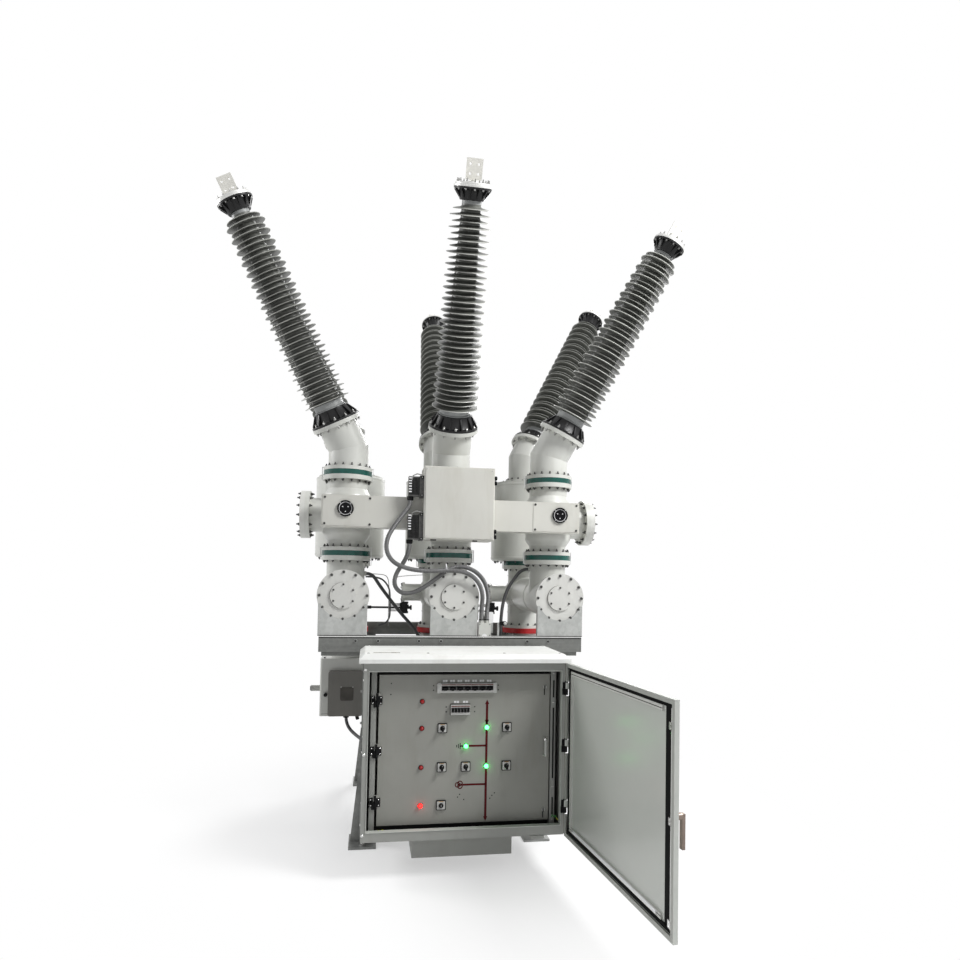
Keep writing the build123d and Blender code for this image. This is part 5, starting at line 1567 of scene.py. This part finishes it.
def earth_wires():
    """Short yellow and green bonding wires at the cabinet's lower corners."""
    wires = Shape()
    y = cabinet_front + 0.035
    runs = [
        [
            (-0.430, y, 0.268), (-0.444, y - 0.006, 0.278), (-0.456, y, 0.270),
            (-0.466, y - 0.008, 0.277), (-0.482, y, 0.267),
        ],
        [(-0.482, y, 0.267), (-0.500, y - 0.004, 0.276), (-0.520, y, 0.270)],
        [(-0.395, y, 0.276), (-0.410, y - 0.004, 0.266), (-0.424, y - 0.010, 0.275), (-0.436, y, 0.266)],
        [
            (0.524, y, 0.312), (0.530, y - 0.006, 0.326), (0.537, y, 0.310),
            (0.544, y - 0.006, 0.322), (0.551, y, 0.308),
        ],
        [(0.551, y, 0.308), (0.556, y - 0.010, 0.302), (0.560, y - 0.014, 0.300)],
    ]
    for index, run in enumerate(runs):
        wires.tube(smooth(run), 0.0026, 8, index % 2)
    wires.make("earth_wires", "bay", [earth_yellow, earth_green])


# Frame: foot bolts and nuts, rail bolts
def frame_bolts():
    hardware = Shape()
    for side_x in (-1, 1):
        for side_y in (-1, 1):
            x = side_x * 0.553
            for y in (side_y * 0.542, side_y * 0.698):
                bolt(hardware, up(x, y, 0.014), 0.015, stud=0.020)
            for z in (0.75, 0.95, 1.12):
                bolt(hardware, side_on(side_x * 0.575, side_y * 0.620, z, side_x), 0.008)
    for drop in (0.230, 0.930):
        for x in (-0.530, 0.530):
            bolt(hardware, front(x, shell_high.y + 0.0495, cabinet_top - drop), 0.0075)
    for x in phases.values():
        for offset in (-0.10, 0.10):
            for y in (frame_low.y + 0.030, frame_high.y - 0.030):
                bolt(hardware, up(x + offset, y, frame_top), 0.009)
    hardware.make("frame_bolts", "bay", [steel, plate_zinc])


# Every builder, in the order of the pieces
for build in (
    bushing_metal, flange_joints, covers, supports, beams, box_trim, connector_trim,
    transformer_trim, gas_fittings, column_trim, mechanism_trim, junction_trim, thin_pipes,
    cabinet_trim, stile_trim, breakers, switches, knobs, lamps, mimic, door_trim, handle_trim,
    earth_wires, frame_bolts,
):
    build()


# Floor, backdrop and light
floor_mesh = bpy.data.meshes.new("floor")
floor_reach = 14.0
corner_points = [(x, y, 0) for x, y in rounded(2 * floor_reach, 2 * floor_reach, 0)]
floor_mesh.from_pydata(corner_points, [], [(0, 1, 2, 3)])
floor = new_object("floor", floor_mesh)
floor_material, floor_tree, floor_shader = new_material("floor_pale")
floor_shader.inputs["Base Color"].default_value = (0.92, 0.92, 0.92, 1.0)
floor_shader.inputs["Roughness"].default_value = 0.9
floor_mesh.materials.append(floor_material)


def combined(tree, operation, first, second):
    node = tree.nodes.new("ShaderNodeMath")
    node.operation = operation
    link(tree, first, node.inputs[0])
    link(tree, second, node.inputs[1])
    return node.outputs["Value"]


def seen_rays(tree):
    """1 for camera, glossy and transmission rays, so that metal and glass show the backdrop too."""
    rays = tree.nodes.new("ShaderNodeLightPath")
    total = rays.outputs["Is Camera Ray"]
    for output in ("Is Glossy Ray", "Is Transmission Ray"):
        total = combined(tree, "MAXIMUM", total, rays.outputs[output])
    return total


# The floor turns into the white backdrop away from the object, so that no horizon shows
floor_place = floor_tree.nodes.new("ShaderNodeTexCoord")
floor_distance = floor_tree.nodes.new("ShaderNodeVectorMath")
floor_distance.operation = "LENGTH"
link(floor_tree, floor_place.outputs["Object"], floor_distance.inputs[0])
floor_fade = floor_tree.nodes.new("ShaderNodeMapRange")
floor_fade.interpolation_type = "SMOOTHSTEP"
floor_fade.inputs["From Min"].default_value = 0.3
floor_fade.inputs["From Max"].default_value = 2.6
floor_fade.inputs["To Min"].default_value = 0.35
link(floor_tree, floor_distance.outputs["Value"], floor_fade.inputs["Value"])
floor_share = combined(floor_tree, "MULTIPLY", floor_fade.outputs["Result"], seen_rays(floor_tree))
floor_white = floor_tree.nodes.new("ShaderNodeEmission")
floor_mix = floor_tree.nodes.new("ShaderNodeMixShader")
link(floor_tree, floor_share, floor_mix.inputs["Fac"])
link(floor_tree, floor_shader.outputs["BSDF"], floor_mix.inputs[1])
link(floor_tree, floor_white.outputs["Emission"], floor_mix.inputs[2])
link(floor_tree, floor_mix.outputs["Shader"], floor_tree.nodes["Material Output"].inputs["Surface"])

world = bpy.data.worlds.new("world")
bpy.context.scene.world = world
world.use_nodes = True
world_tree = world.node_tree
background = world_tree.nodes["Background"]
background.inputs["Color"].default_value = (0.96, 0.97, 1.0, 1.0)
background.inputs["Strength"].default_value = 0.36
backdrop = world_tree.nodes.new("ShaderNodeBackground")
backdrop.inputs["Color"].default_value = (1.0, 1.0, 1.0, 1.0)
choose = world_tree.nodes.new("ShaderNodeMixShader")
link(world_tree, seen_rays(world_tree), choose.inputs["Fac"])
link(world_tree, background.outputs["Background"], choose.inputs[1])
link(world_tree, backdrop.outputs["Background"], choose.inputs[2])
link(world_tree, choose.outputs["Shader"], world_tree.nodes["World Output"].inputs["Surface"])


def area_light(name, origin, target, size, power):
    data = bpy.data.lights.new(name, "AREA")
    data.shape = "RECTANGLE"
    data.size = size
    data.size_y = size
    data.energy = power
    light = new_object(name, data)
    light.matrix_world = place(origin, Vector(origin) - Vector(target), (1, 0, 0))


area_light("hall_lamp_right", (3.8, -3.4, 6.0), (0, 0, 1.6), 2.0, 440)
area_light("hall_lamp_left", (-5.0, 0.8, 4.4), (0, 0, 1.8), 1.8, 150)
area_light("hall_lamp_back", (2.6, 4.6, 5.2), (0, 0, 1.8), 3.0, 260)

bpy.context.scene.view_settings.view_transform = "Standard"
